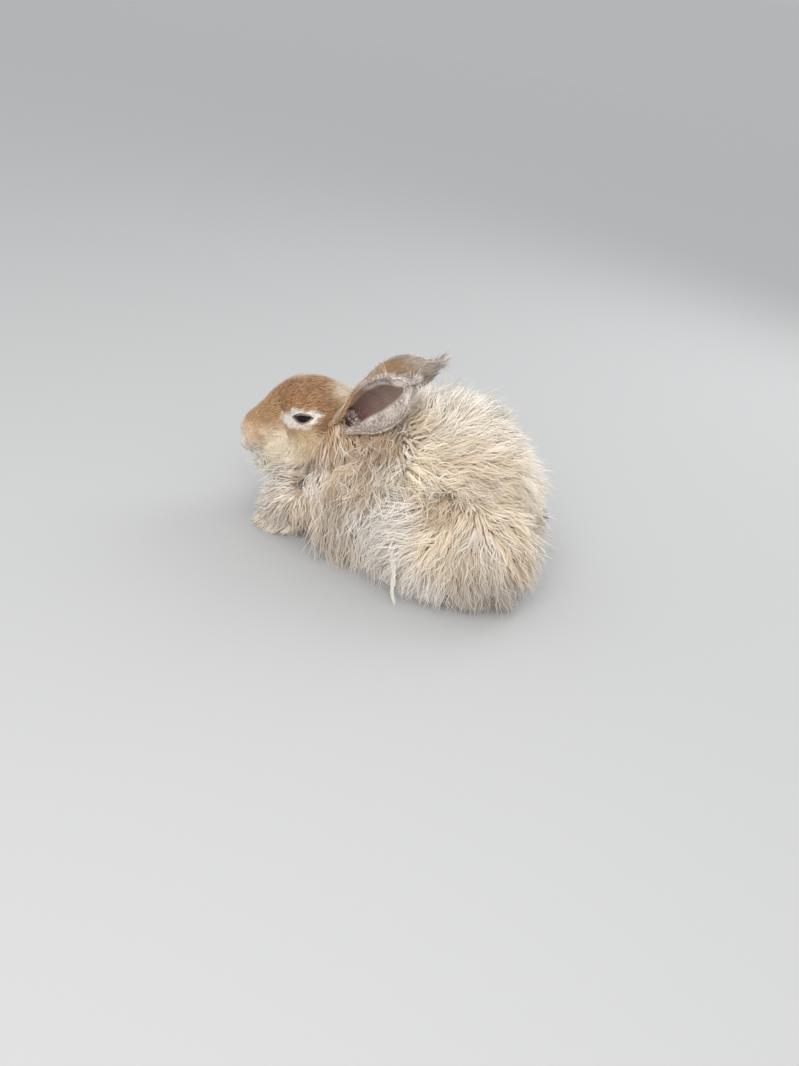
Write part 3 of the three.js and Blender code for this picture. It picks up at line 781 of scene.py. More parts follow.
# Roots of the coat
def skin_triangles(mesh):
    """Corners, corner normals and areas of a mesh's triangles, in millimetres."""
    mesh.calc_loop_triangles()
    corners = np.empty(3 * len(mesh.loop_triangles), np.int32)
    mesh.loop_triangles.foreach_get("vertices", corners)
    corners = corners.reshape(-1, 3)
    normals = np.empty(3 * len(mesh.vertices), np.float32)
    mesh.vertex_normals.foreach_get("vector", normals)
    points = places_of(mesh)[corners]
    area = np.linalg.norm(np.cross(points[:, 1] - points[:, 0], points[:, 2] - points[:, 0]), axis=1) / 2
    return points, normals.reshape(-1, 3).astype(float)[corners], area


TRIANGLES, NORMALS, AREAS = skin_triangles(make_skin())
MIDDLES = TRIANGLES.mean(axis=1)


def sown(rng, count, density):
    """Random points on the skin and their normals, thick where the density of its triangles is high."""
    chance = AREAS * density
    pick = rng.choice(len(AREAS), count, p=chance / chance.sum())
    a, b = rng.random((2, count))
    over = a + b > 1
    a, b = np.where(over, 1 - a, a), np.where(over, 1 - b, b)
    share = np.stack([1 - a - b, a, b], axis=1)[:, :, None]
    return (TRIANGLES[pick] * share).sum(axis=1), unit((NORMALS[pick] * share).sum(axis=1))


# The lie of the coat. On the shoulders it hangs. Behind them it spreads like a fan from a whorl behind each
# ear: up over the back, along the flanks and down, and it swirls on the haunches. A comb gives the coat's lie
# on a form, its depth, which is how far it stands out from the skin, and its lean, the angle between the two
WHORL = vec(-6, 40, 96)
SWIRL, SWIRL_REACH = vec(46, 64, 62), 26
CREASE = [vec(-67, 21, 69), vec(-70, 25, 61), vec(-70, 32, 54), vec(-70, 42, 47)]  # from ruff to shoulder
CREASE_REACH, CREASE_WIDTH = 20, 10
HANG = 44  # level below which the coat mostly hangs
BLEND = 9  # over which the lie of one form passes into the next


def torso_comb(points, out):
    t = torso.share(points)
    away = points - WHORL * ways(1, side_of(points), 1)
    hang = ways(curve([[-1, -0.4], [-0.4, 0.1], [1, 0.25]], t), 0.35 * out[:, 1], -1)
    behind = ramp(points[:, 0], -16, 22) * ramp(np.linalg.norm(away, axis=1), 12, 34)
    high = ramp(points[:, 2], HANG - 26, HANG + 22)
    lie = mixed(unit(hang), unit(away), (behind * mixed(0.25, 1, high))[:, None])
    rear = ramp(out[:, 0], 0.25, 0.75) * ramp(points[:, 0], 60, 96)
    lie = mixed(lie, ways(0, 0.012 * points[:, 1], -1), rear[:, None])
    along = curve([[-1, 0.6], [-0.75, 0.82], [-0.4, 0.94], [0.3, 0.94], [1, 0.78]], t)
    depth = COAT * along * curve([[-1, 0.35], [-0.4, 0.85], [0, 1]], out[:, 2])
    chest = ramp(-points[:, 0], 62, 86)
    throat = chest * (1 - ramp(np.abs(points[:, 1]), 8, 24))
    depth = depth * mixed(1, curve([[8, 0.3], [26, 0.6], [44, 1.15], [58, 1.6]], points[:, 2]), chest)
    depth = depth * (1 - 0.6 * throat)
    depth = depth * (1 - 0.32 * ramp(points[:, 0], 48, 104) * (1 - 0.6 * rear))
    lean = curve([[-1, 34], [-0.3, 28], [0.4, 33], [1, 38]], t) + 10 * np.abs(out[:, 2])
    return lie, depth, lean * (1 - 0.55 * throat)


def neck_comb(points, out):
    depth = 0.6 * COAT * curve([[-1, 0.9], [0, 1], [1, 1.2]], neck.share(points))
    return ways(0.45 + 0.5 * out[:, 2], 0.5 * out[:, 1], -0.25 - np.abs(out[:, 1])), depth, 27


def thigh_comb(points, out):
    t = np.clip((points[:, 0] - 68) / 50, -1, 1)
    depth = COAT * curve([[-1, 0.58], [0, 0.58], [1, 0.5]], t)
    return ways(0.35 + 0.6 * t, 0.3 * side_of(points), -0.8), depth, 26 - 16 * np.minimum(0, out[:, 2])


def arm_comb(points, _):
    return ways(0.2, 0.2 * side_of(points), -1), COAT * curve([[-112, 0.12], [-84, 0.26]], points[:, 0]), 20


def foot_comb(points, _):
    return ways(-0.8, 0.3 * side_of(points), -0.5), 4.5, 26


def tail_comb(_, out):
    return ways(0.5, 0.4 * out[:, 1], 0.8), 0.26 * COAT, 26


COMBS = [(torso, torso_comb), (neck, neck_comb), (tail, tail_comb)]
COMBS += [(form, thigh_comb) for form in thighs] + [(form, arm_comb) for form in fore_arms]
COMBS += [(form, foot_comb) for form in feet]


def laid(lie, normals):
    """A direction laid flat on the skin."""
    return unit(lie - np.sum(lie * normals, axis=-1)[:, None] * normals)


def swung(lie, normals, angle):
    """Directions on the skin, each turned by an angle."""
    angle = angle[:, None]
    return lie * np.cos(angle) + np.cross(normals, lie) * np.sin(angle)


def combed(points, normals):
    """Lie, depth and lean of the body's coat, blended between the forms that are near.

    The coat parts from the crease and is thin there.
    """
    lie, depth, lean, total = np.zeros((len(points), 3)), 0, 0, 0
    for form, comb in COMBS:
        weight = np.exp(-(np.maximum(form.far(points), 0) / BLEND) ** 2) + 1e-9
        one_lie, one_depth, one_lean = comb(points, normals)
        lie += weight[:, None] * unit(one_lie)
        depth += weight * one_depth
        lean += weight * one_lean
        total += weight
    lie, depth, lean = lie / total[:, None], depth / total, lean / total
    away = line_away(folded(points), CREASE) * ways(1, side_of(points), 1)
    crease = np.linalg.norm(away, axis=1)
    lie = lie + 1.5 * np.exp(-(crease / CREASE_REACH) ** 2)[:, None] * unit(away)
    depth = depth * (1 - 0.75 * np.exp(-(crease / CREASE_WIDTH) ** 2))
    swirl = np.exp(-np.sum((folded(points) - SWIRL) ** 2, axis=1) / SWIRL_REACH ** 2) * side_of(points)
    return swung(laid(lie, normals), normals, swirl), depth, lean


# Strands
COAT_REACH = 0.03  # how far the coat may go past the solids' box, of the box's size
BOX_LOW, BOX_HIGH = np.array(cad_box) / MM - SHIFT
REACH_LOW = BOX_LOW - COAT_REACH * (BOX_HIGH - BOX_LOW)
REACH_HIGH = BOX_HIGH + COAT_REACH * (BOX_HIGH - BOX_LOW)
STRAND_WIDTH = [[0, 0.75], [0.3, 1], [0.7, 0.85], [1, 0.15]]
FADE = 0.8  # how soon a strand takes its tip's colour
LIGHTEST = 0.95
SOFTNESS = 0.8  # how far strands are lit like the surface that they make up
STILL = np.zeros((1, 2))


def within_reach(paths):
    """Strands about their roots, each no longer than the coat's reach allows, and free down to the floor."""
    away = paths - paths[:, :1]
    room = np.where(away > 0, REACH_HIGH - paths[:, :1], paths[:, :1] - REACH_LOW)
    room[:, :, 2] = np.where(away[:, :, 2] > 0, room[:, :, 2], np.inf)
    size = np.min(room / np.maximum(np.abs(away), 1e-6), axis=(1, 2))
    return paths[:, :1] + away * np.clip(size, 0.1, 1)[:, None, None]


def strand_path(base, normals, lie, length, lift, curl, sway, steps, wave=STILL, phase=0):
    """Points of strands that leave the skin at an angle, curl down on to it, sway and wave.

    Lift, curl and sway are in degrees, and wave is each strand's degrees and number of waves.
    """
    side = np.cross(normals, lie)
    points = [base]
    step = (length / steps)[:, None]
    for k in range(steps):
        share = (k + 0.5) / steps
        over = np.radians(lift - curl * share)[:, None]
        swing = wave[:, 0] * np.sin(2 * math.pi * (wave[:, 1] * share + phase))
        turn = np.radians(sway * share + swing)[:, None]
        ahead = lie * np.cos(turn) + side * np.sin(turn)
        points.append(points[-1] + (ahead * np.cos(over) + normals * np.sin(over)) * step)
    return np.stack(points, axis=1)


def strand_mesh(paths, normals, width, thick, soft_normals):
    """Closed three-sided strands along paths, flat side down, each ending in a point.

    Thick is their thickness as a share of their width, and the soft normals are the way that the surface they
    make up faces. Gives points, faces, the way that they seem to face, and their shares along and across.
    """
    count, rows = paths.shape[0], paths.shape[1]
    tangent = np.empty_like(paths)
    tangent[:, 1:-1] = paths[:, 2:] - paths[:, :-2]
    tangent[:, 0] = paths[:, 1] - paths[:, 0]
    tangent[:, -1] = paths[:, -1] - paths[:, -2]
    tangent = unit(tangent)
    wide = unit(np.cross(tangent, normals[:, None, :] + 0 * tangent))
    ridge = np.cross(wide, tangent)
    share = np.linspace(0, 1, rows)
    half = (0.5 * width[:, None] * curve(STRAND_WIDTH, share)[None, :])[:, :-1, None]
    middle, wide, ridge = paths[:, :-1], wide[:, :-1], ridge[:, :-1]
    corners = np.stack([wide - ridge * thick, -wide - ridge * thick, ridge * thick * 1.4], axis=2)
    rings = (middle[:, :, None] + corners * half[:, :, None]).reshape(count, -1, 3)
    points = np.concatenate([rings, paths[:, -1:]], axis=1)
    facing = mixed(unit(corners).reshape(count, -1, 3), soft_normals[:, None], SOFTNESS)
    facing = unit(np.concatenate([facing, soft_normals[:, None]], axis=1))
    last = 3 * (rows - 2)
    faces = [(0, 2, 1)]
    for one in range(3):
        two = (one + 1) % 3
        for start in range(0, last, 3):
            a, b = start + one, start + two
            faces += [(a, b + 3, a + 3), (a, b, b + 3)]
        faces.append((last + one, last + two, last + 3))
    faces = np.array(faces)[None] + (np.arange(count) * points.shape[1])[:, None, None]
    along = np.append(np.repeat(share[:-1], 3), 1.0)
    across = np.append(np.tile([0, 0.5, 1], rows - 1), 0.5)
    return points.reshape(-1, 3), faces.reshape(-1, 3), facing.reshape(-1, 3), along, across


def raised(normals):
    """The way that coat is lit: up and forward where the skin faces down, as light falls through hairs."""
    return unit(normals + ramp(-normals[:, 2], 0.1, 0.9)[:, None] * vec(-0.4, 0, 1.15))


def strands_piece(name, paths, normals, width, low, high, uv, look, slot, thick=0.45, soft=None):
    """One piece of coat.

    Its colour goes from the root's to the tip's, and each strand is a patch of the OFBake map.
    """
    paths = within_reach(paths)
    paths[:, :, 2] = np.maximum(paths[:, :, 2], FLOOR_CLEAR)
    soft = raised(normals) if soft is None else soft
    points, faces, facing, along, across = strand_mesh(paths, normals, width, thick, soft)
    points[:, 2] = np.maximum(points[:, 2], 0.1)
    colours = mixed(low[:, None, :], high[:, None, :], (along ** FADE)[None, :, None]).reshape(-1, 3)
    colours = colours / np.maximum(1, colours.max(axis=1, keepdims=True) / LIGHTEST)
    patch = TUFT_PATCH * np.stack([across, along], axis=1)
    places = (uv[:, None, :] + patch[None]).reshape(-1, 2)
    mounted(mesh_piece(name, points, faces, look, np.maximum(colours, 0.01), places, facing), slot)


def split_pieces(name, roots, steps, make):
    """Makes pieces of strands of at most 190,000 triangles each, from the front to the back."""
    order = np.argsort(roots[:, 0])
    pieces = math.ceil(len(roots) * (6 * steps - 2) / 190000)
    for i, part in enumerate(np.array_split(order, pieces)):
        make(f"{name}_{i + 1}" if pieces > 1 else name, part)


def on_map(across, along):
    """Places on the OFBake map, with room for a strand's patch, from two shares from 0 to 1."""
    return np.stack([0.01 + 0.97 * across, 0.01 + 0.97 * along], axis=1)


def unwrap(points, low, high):
    """Places on an unwrap of the trunk: round it, and along it from one level of x to another."""
    middle = curve(torso.mid, torso.share(points))
    angle = np.arctan2(points[:, 1], points[:, 2] - middle)
    return on_map(angle / (2 * math.pi) + 0.5, np.clip((points[:, 0] - low) / (high - low), 0, 1))


def tree_of(points):
    tree = KDTree(len(points))
    for i, point in enumerate(points):
        tree.insert(point, i)
    tree.balance()
    return tree


def nearest(points, tree):
    return np.array([tree.find(point)[1] for point in points])


# Ears' shapes, as curves from root to tip, and where they stand. The long coat keeps clear of their cups
EAR_RADIUS = [[0, 8], [0.2, 12], [0.45, 18.5], [0.75, 19], [1, 13]]
EAR_ROLL = [[0, 150], [0.15, 120], [0.35, 90], [0.6, 74], [0.82, 56], [0.94, 34], [1, 8]]
EAR_SPINE, EAR_RIM = 2.2, 0.9  # thickness
EAR_BEND = 5
EAR_BURIED = 0.14  # how far an ear goes on below its root, of its length
EARS = {
    "left": {"root": vec(-40, -23, 112), "aim": vec(45, -16, 49), "open": vec(0.12, -0.9, 0.36)},
    "right": {"root": vec(-40, 20, 112), "aim": vec(56, 16, 46), "open": vec(0.1, 0.8, 0.5)},
}


def ear_axes(ear):
    """The directions along an ear, out of its opening and across it."""
    length = unit(ear["aim"])
    face = unit(ear["open"] - (ear["open"] @ length) * length)
    return length, face, np.cross(length, face)


def in_ear(points, ear):
    """Which points are in an ear's cup or close before its opening."""
    length, face, side = ear_axes(ear)
    away = points - ear["root"]
    u = away @ length / EAR_LONG
    radius = curve(EAR_RADIUS, np.clip(u, 0, 1))
    ahead = away @ face - (radius - EAR_BEND)
    wide = np.abs(away @ side)
    cup = np.hypot(ahead, wide) < radius + 0.5
    before = (ahead > 0) & (ahead < radius + 10) & (wide < 0.8 * radius)
    return (cup | before) & (u > 0.04) & (u < 1.02)


def free_strands(paths):
    """Which strands stay out of the head and of the ears' cups."""
    ends = paths[:, 2:].reshape(-1, 3)
    hits = head.far(ends) < -1
    for ear in EARS.values():
        hits |= in_ear(ends, ear)
    return ~hits.reshape(len(paths), -1).any(axis=1)


# The long coat of the body: broad soft tufts of wool below, and over them fine strands. Both are gathered in
# rounded locks, each the cell of the skin round its root, with painted shade darkening the valleys between
# them
UNDER_TUFTS, UNDER_STEPS = 7400, 4
UNDER_SHARE = 0.48  # how far out from the skin they lie, of the coat's depth
BODY_STRANDS, BODY_STEPS = 28000, 5
BODY_LOCKS = 900
WISPS, WISP_STEPS = 2000, 8
LOCK_STRENGTH = 0.64  # how far strands close up to their lock at its tip
LOCK_PUFF = 0.11  # how much a lock's middle stands over its edges, of the coat's depth
LOOSE = 0.26  # share of strands that belong to no lock
BASE_SHARE = 0.4  # where strands begin to bend over, of the coat's depth
ROOT_DEPTH = 1.2
RISE = 14
SPLAY, SPLAY_BELOW = 30, 40  # strands stand out further near the floor
MATTED, MATTED_REACH = vec(2, 48, 80), vec(52, 34, 30)
PARTING, PARTING_REACH = vec(-8, 40, 98), vec(20, 16, 16)  # where the shoulder's hair and the back's part


def body_density(points, normals):
    """Where the long coat grows: not on the face, thinly underneath and thickly at the parting."""
    local = placed(HEAD_BACK, points)
    nearer = (1 - ramp(local[:, 0], 55, 80)) * ramp(local[:, 2], -24, -14)
    grown = ramp(head.far(points) - 7 * nearer, 0.5, 3)
    grown = grown * (1 - 0.8 * np.exp(-(line_distance(folded(points), CREASE) / 5.5) ** 2))
    grown = grown * (1 + 1.2 * around(folded(points), PARTING, PARTING_REACH))
    under = 1 - 0.85 * ramp(-normals[:, 2], 0.5, 0.95) * (points[:, 2] < 24)
    return grown * under + 1e-6


def body_shape(rng, points, normals):
    """What the shape of a strand of the body's coat follows, for roots on the skin."""
    lie, depth, lean = combed(points, normals)
    stir = ripple(points, 60, 21)
    matted = around(folded(points), MATTED, MATTED_REACH)
    parting = around(folded(points), PARTING, PARTING_REACH)
    swerve = 15 * stir[:, 0] + 15 * ripple(points, 26, 23)[:, 0]
    lie = swung(lie, normals, np.radians(swerve + 30 * matted * ripple(points, 34, 22)[:, 0]))
    depth = depth * (1 + 0.07 * stir[:, 1] + 0.06 * ripple(points, 22, 24)[:, 0])
    length = 0.6 * depth / np.sin(np.radians(lean))
    splay = SPLAY * np.clip(1 - points[:, 2] / SPLAY_BELOW, 0, 1) * (1 - 0.9 * ramp(-points[:, 0], 60, 84))
    count = len(points)
    wave = rng.uniform(8, 24, count) + 26 * matted + parting * rng.uniform(0, 50, count)
    return {
        "lie": lie,
        "depth": depth,
        "length": length,
        "lift": lean + RISE + splay + rng.uniform(-8, 8, count),
        "curl": 30 + 0.5 * length,
        "sway": rng.uniform(-36, 36, count) * (1 + 1.4 * parting),
        "wave": np.stack([wave, rng.uniform(0.7, 1.5, count)], axis=1),
        "phase": rng.random(count),
        "base": points + BASE_SHARE * depth[:, None] * (normals + 0.45 * lie),
        "matted": matted,
    }


def arcs(shape, normals, length, steps):
    bends = (shape[part] for part in ("lift", "curl", "sway"))
    wave = shape["wave"], shape["phase"]
    return strand_path(shape["base"], normals, shape["lie"], length, *bends, steps, *wave)


def rooted(roots, normals, paths, deep=ROOT_DEPTH):
    """Paths that begin a little below the skin."""
    return np.concatenate([(roots - deep * normals)[:, None, :], paths], axis=1)


class Locks:
    """Where the locks of the body's coat are rooted, and how each bends and is coloured."""

    def __init__(self, density):
        rng = np.random.default_rng(3)
        roots, normals = sown(rng, BODY_LOCKS, density)
        samples, sample_normals = sown(rng, 9 * BODY_LOCKS, density)
        sample_tree = tree_of(samples)
        for _ in range(3):
            which = nearest(samples, tree_of(roots))
            total = np.bincount(which, minlength=BODY_LOCKS)[:, None]
            middle = np.stack([np.bincount(which, samples[:, i], BODY_LOCKS) for i in range(3)], axis=1)
            back = nearest(np.where(total > 0, middle / np.maximum(total, 1), roots), sample_tree)
            roots, normals = samples[back], sample_normals[back]
        self.shape = body_shape(rng, roots, normals)
        self.shape["wave"][:, 0] += rng.uniform(4, 22, BODY_LOCKS)
        self.shape["sway"] *= 1.4
        self.length = self.shape["length"] * rng.uniform(0.84, 1.18, BODY_LOCKS)
        self.paths = arcs(self.shape, normals, self.length, BODY_STEPS - 1)
        self.light = rng.normal(size=BODY_LOCKS) * (0.05 + 0.06 * self.shape["matted"])
        self.white = rng.random(BODY_LOCKS) ** 2
        self.gold = rng.random(BODY_LOCKS) ** 2
        self.tree = tree_of(roots)

    def cells(self, points):
        """The lock that each point belongs to, and how far in it is: 0 at its edge, 1 at its middle."""
        found = [self.tree.find_n(point, 2) for point in points]
        which = np.array([pair[0][1] for pair in found])
        near, next_near = np.array([[pair[0][2], pair[1][2]] for pair in found]).T
        return which, ramp((next_near - near) / (next_near + near), 0, 0.75)


def puffed(paths, normals, depth, matted, inner):
    """Strands raised in the middle of their lock and lowered at its edges."""
    height = LOCK_PUFF * (1 + 0.7 * matted) * depth * (inner - 0.55)
    share = np.linspace(0, 1, paths.shape[1]) ** 0.6
    return paths + normals[:, None] * height[:, None, None] * share[None, :, None]


def lock_colours(locks, which, inner, base):
    """Root and tip colours: darker and browner at the edges of a lock, as painted shade in the valleys
    between locks, whiter in the middle of some.
    """
    between_locks_shade = (1 - inner)[:, None]
    matted = locks.shape["matted"][which][:, None]
    white = np.minimum(0.2 + 0.4 * locks.white[which] + 0.3 * matted[:, 0] * locks.white[which], 1)
    # painted shade: roots and tips darker and nearer tan towards a lock's edge, most in the matted wool
    low = mixed(mixed(base, GOLD, 0.3), TAN, 0.22 * between_locks_shade) * (1 - 0.25 * matted * between_locks_shade)
    high = mixed(mixed(base, GOLD, 0.35 * locks.gold[which, None]), WHITE, (white * inner)[:, None])
    high = high * (1 - (0.08 + 0.26 * matted) * between_locks_shade)
    light = 1 + locks.light[which][:, None]
    return low * light, high * light


def body_paths(rng, locks, roots, normals):
    """Strands of the body's coat gathered in locks: out through the undercoat, then over and down."""
    steps = BODY_STEPS - 1
    own = body_shape(rng, roots, normals)
    which, inner = locks.cells(roots)
    count = len(roots)
    length = mixed(locks.length[which], own["length"], 0.4) * rng.uniform(0.7, 1.08, count)
    loose = rng.random(count) < LOOSE
    own["lift"] = own["lift"] + loose * rng.uniform(0, 22, count)
    own["curl"] = own["curl"] - 12 * loose
    free = arcs(own, normals, length * (1 + 0.12 * loose), steps)
    share = np.linspace(0, 1, steps + 1)[None, :, None]
    matted = locks.shape["matted"][which]
    strength = (LOCK_STRENGTH + 0.3 * matted) * rng.uniform(0.7, 1.2, count) * np.where(loose, 0.2, 1)
    strength = np.clip(strength, 0, 0.95)[:, None, None]
    offset = own["base"] - locks.shape["base"][which]
    gathered = locks.paths[which] + offset[:, None, :] * (1 - 0.75 * share ** 1.3)
    path = mixed(free, gathered, strength * np.minimum(1, 1.6 * share))
    path = path + rng.normal(size=(count, 1, 3)) * 1.2 * share
    path = puffed(path, normals, own["depth"], matted, inner)
    frizz = rng.uniform(0.3, 1.3, count)[:, None, None] * share
    turns = rng.uniform(0.8, 2.2, count)[:, None, None] * share + rng.random(count)[:, None, None]
    path = path + np.cross(normals, own["lie"])[:, None, :] * frizz * np.sin(2 * math.pi * turns)
    return rooted(roots, normals, path), which, inner


def fitted(paths, width):
    """Paths and widths of strands kept out of the face and the ears, and which are kept.

    Those that reach in are made shorter and thinner, or are left out if they are broad.
    """
    size = np.ones(len(paths))
    for shorter in (0.6, 0.5):
        about = paths[:, :1] + (paths - paths[:, :1]) * size[:, None, None]
        size = np.where(free_strands(about), size, size * shorter)
    paths = paths[:, :1] + (paths - paths[:, :1]) * size[:, None, None]
    return paths, width * mixed(size, 1, 0.4), (size == 1) | (width < 1)


def coat_pieces(name, roots, normals, paths, width, colours, thick=0.45):
    """Pieces of the body's coat. Colours turns its markings into the strands' colours at root and tip."""
    paths, width, keep = fitted(paths, width)
    low, high = colours(markings(roots + 0.5 * (paths[:, -1] - roots)))
    strands = roots, normals, paths, width, low, high
    roots, normals, paths, width, low, high = (part[keep] for part in strands)
    uv = unwrap(roots, roots[:, 0].min(), roots[:, 0].max())

    def make(piece, part):
        look = (low[part], high[part], uv[part], coat_look, "body_coat")
        strands_piece(piece, paths[part], normals[part], width[part], *look, thick=thick)

    split_pieces(name, roots, paths.shape[1] - 1, make)


def make_undercoat(locks, density):
    """Broad, soft tufts that lie over one another like shingles and fill the coat's depth."""
    rng = np.random.default_rng(14)
    roots, normals = sown(rng, UNDER_TUFTS, density * ramp(head.far(MIDDLES), 3, 9))
    own = body_shape(rng, roots, normals)
    which, inner = locks.cells(roots)
    count = len(roots)
    lie, depth = own["lie"], own["depth"]
    base = roots + UNDER_SHARE * depth[:, None] * (normals + 0.3 * lie) * rng.uniform(0.85, 1.1, (count, 1))
    length = (8 + 0.35 * depth) * rng.uniform(0.8, 1.25, count)
    bends = (rng.uniform(low, high, count) for low, high in ((4, 24), (20, 40), (-30, 30)))
    path = strand_path(base, normals, lie, length, *bends, UNDER_STEPS - 1)
    path = rooted(roots, normals, puffed(path, normals, depth, own["matted"], inner))
    width = (1.4 + 0.025 * depth) * rng.uniform(0.7, 1.3, count)

    def colours(base):
        low, high = lock_colours(locks, which, inner, base)
        return low, mixed(low, high, 0.7)

    coat_pieces("undercoat", roots, normals, path, width, colours, thick=0.3)


def make_strands(locks, density):
    """The fine strands of the coat, some of them bold."""
    rng = np.random.default_rng(4)
    roots, normals = sown(rng, BODY_STRANDS, density)
    paths, which, inner = body_paths(rng, locks, roots, normals)
    count = len(roots)
    bold = rng.random(count) < 0.08
    width = np.where(bold, rng.uniform(0.55, 0.8, count), rng.uniform(0.26, 0.5, count))
    tint = 1 + rng.normal(size=(count, 1)) * 0.045

    def colours(base):
        return (colour * tint for colour in lock_colours(locks, which, inner, base))

    coat_pieces("coat", roots, normals, paths, width, colours)


def make_wisps(density):
    """Fine single wisps that wave over the coat."""
    rng = np.random.default_rng(8)
    roots, normals = sown(rng, WISPS, density)
    own = body_shape(rng, roots, normals)
    own["lift"] = own["lift"] + rng.uniform(-4, 16, WISPS)
    own["wave"] = np.stack([rng.uniform(26, 52, WISPS), rng.uniform(0.7, 1.4, WISPS)], axis=1)
    paths = arcs(own, normals, own["length"] * rng.uniform(0.9, 1.25, WISPS), WISP_STEPS - 1)
    paths = rooted(roots, normals, paths)
    width = rng.uniform(0.3, 0.5, WISPS)
    coat_pieces("wisps", roots, normals, paths, width, lambda base: (base * 0.95, mixed(base, WHITE, 0.7)))


CURLS, CURL_STEPS, CURL_HAIRS = 26, 8, 14
HANGING = np.array([(10, -62, 60), (20, -85, 48), (28, -96, 28), (30, -100, 12), (35, -102, 0.6)])
HANGING_HAIRS = 22


def bundle(rng, paths, hairs, spread, close):
    """Hairs that run along each of the paths and close up to its tip."""
    rows = paths.shape[1]
    share = np.linspace(0, 1, rows)[None, :, None]
    paths = np.repeat(paths, hairs, axis=0)
    offset = rng.normal(size=(len(paths), 1, 3)) * spread * (1 - close * share ** 0.5)
    apart = np.repeat(rng.normal(size=(len(paths), 3)) * 40, rows, axis=0)
    stray = ripple(paths.reshape(-1, 3) + apart, 16, 61)
    return paths + offset + 0.8 * share * stray.reshape(paths.shape)


def make_curls(density):
    """Small white curls in the matted wool of the shoulders, and one thin lock that hangs to the floor."""
    rng = np.random.default_rng(15)
    roots, normals = sown(rng, CURLS, density * around(folded(MIDDLES), MATTED, MATTED_REACH) ** 2)
    own = body_shape(rng, roots, normals)
    base = roots + rng.uniform(0.5, 0.75, (CURLS, 1)) * own["depth"][:, None] * normals
    turn = rng.uniform(20, 110, CURLS) * rng.choice([-1, 1], CURLS)
    wave = np.stack([rng.uniform(10, 50, CURLS), rng.uniform(0.8, 1.4, CURLS)], axis=1)
    length, lift, curl = (rng.uniform(low, high, CURLS) for low, high in ((12, 22), (18, 44), (30, 60)))
    paths = strand_path(
        base, normals, own["lie"], length, lift, curl, turn, CURL_STEPS - 1, wave, rng.random(CURLS),
    )
    curls = bundle(rng, rooted(roots, normals, paths, 1), CURL_HAIRS, 1.5, 0.6)
    at = np.linspace(0, 1, CURL_STEPS + 1)
    places = np.linspace(0, 1, len(HANGING))
    lock = np.stack([curve(np.stack([places, part], axis=1), at) for part in HANGING.T], axis=1)
    hanging = bundle(rng, lock[None], HANGING_HAIRS, 2.2, 0.8)
    paths = np.concatenate([curls, hanging])
    normals = np.repeat(normals, CURL_HAIRS, axis=0)
    normals = np.concatenate([normals, np.tile(unit(vec(0, -1, 0.3)), (HANGING_HAIRS, 1))])
    width = rng.uniform(0.2, 0.36, len(paths))
    white = mixed(WHITE, PALE, rng.uniform(0, 0.9, (len(paths), 1)))
    coat_pieces("curls", paths[:, 0], normals, paths, width, lambda base: (white * 0.85, white))


def make_coat():
    density = body_density(MIDDLES, unit(NORMALS.mean(axis=1)))
    locks = Locks(density)
    make_undercoat(locks, density)
    make_strands(locks, density)
    make_wisps(density)
    make_curls(density)


# The short fur of the face, longer on the cheeks, the throat and the back of the head
FACE_STRANDS, FACE_STEPS = 24000, 2
STREAK = 3.4  # width of the streaks in the face's fur


def on_cheek(local):
    return ramp(-local[:, 2], -4, 12) * ramp(local[:, 0], 18, 36)


def face_comb(local):
    """Lie, depth and lean of the head's fur, in its own frame.

    It runs back from the nose and falls forward on the cheeks and below the chin.
    """
    side = side_of(local)
    low = ramp(-local[:, 2], 0, 26)
    back = ramp(local[:, 0], 34, 92)
    chin = ramp(-local[:, 2] - 0.2 * np.minimum(local[:, 0], 40), 14, 28) * ramp(local[:, 0], 4, 16)
    cheek = on_cheek(local)
    fall = np.maximum(cheek, chin)
    aside = 0.15 * side * ramp(local[:, 0], 0, 40) + 0.15 * side * cheek
    lie = ways(1 - 1.75 * fall, aside, 0.15 - 0.3 * low - 0.7 * fall)
    depth = curve([[0, 0.5], [12, 1.4], [30, 2.6], [60, 3.4], [80, 4.6], [97, 9]], local[:, 0])
    depth = depth + 5 * low * back + (1.5 + 5 * low) * cheek
    depth = depth + 1.5 * low * ramp(local[:, 0], 4, 20) + 8 * chin
    near_eye = 1 - ramp(eye_far(local), 0.45, 1.2)
    crest = ramp(local[:, 0], 82, 96) * ramp(local[:, 2], 4, 22)
    depth, back = depth + 4 * crest, back + 1.5 * crest
    return lie, mixed(depth, 1.3, near_eye), 24 + 10 * back + 14 * chin + 6 * cheek


def squeezed(points, way):
    """Points drawn together along a direction, which stretches noise along it."""
    return points - 0.7 * (points @ unit(way))[:, None] * unit(way)


def face_paths(rng):
    """The face's strands, which keep off the eyes: their paths, normals and lengths, and their roots."""
    middles = placed(HEAD_BACK, MIDDLES)
    dense = 1 + 1.2 * (1 - ramp(eye_far(middles), 0.5, 1.3)) + 0.8 * (1 - ramp(middles[:, 0], 5, 25))
    on_head = (head.far(MIDDLES) < 1.5) * (opening_far(middles) > 1.5)
    roots, normals = sown(rng, FACE_STRANDS, on_head * dense + 1e-12)
    lie, depth, lean = face_comb(placed(HEAD_BACK, roots))
    lie = laid(lie @ HEAD_TURN, normals)
    count = len(roots)
    lie = swung(lie, normals, np.radians(14 * ripple(roots, 22, 31)[:, 0] + rng.normal(size=count) * 12))
    lean = lean + 5 * ripple(roots, 14, 32)[:, 0] + rng.normal(size=count) * 4
    length = depth / np.sin(np.radians(lean)) * rng.uniform(0.7, 1.2, count)
    sway = rng.uniform(-24, 24, count)
    path = strand_path(roots - 0.5 * normals, normals, lie, length, lean + 14, 34, sway, FACE_STEPS)
    ends = placed(HEAD_BACK, path[:, 1:].reshape(-1, 3))
    keep = (opening_far(ends) > 0.3).reshape(count, -1).all(axis=1)
    return path[keep], normals[keep], length[keep], roots[keep]


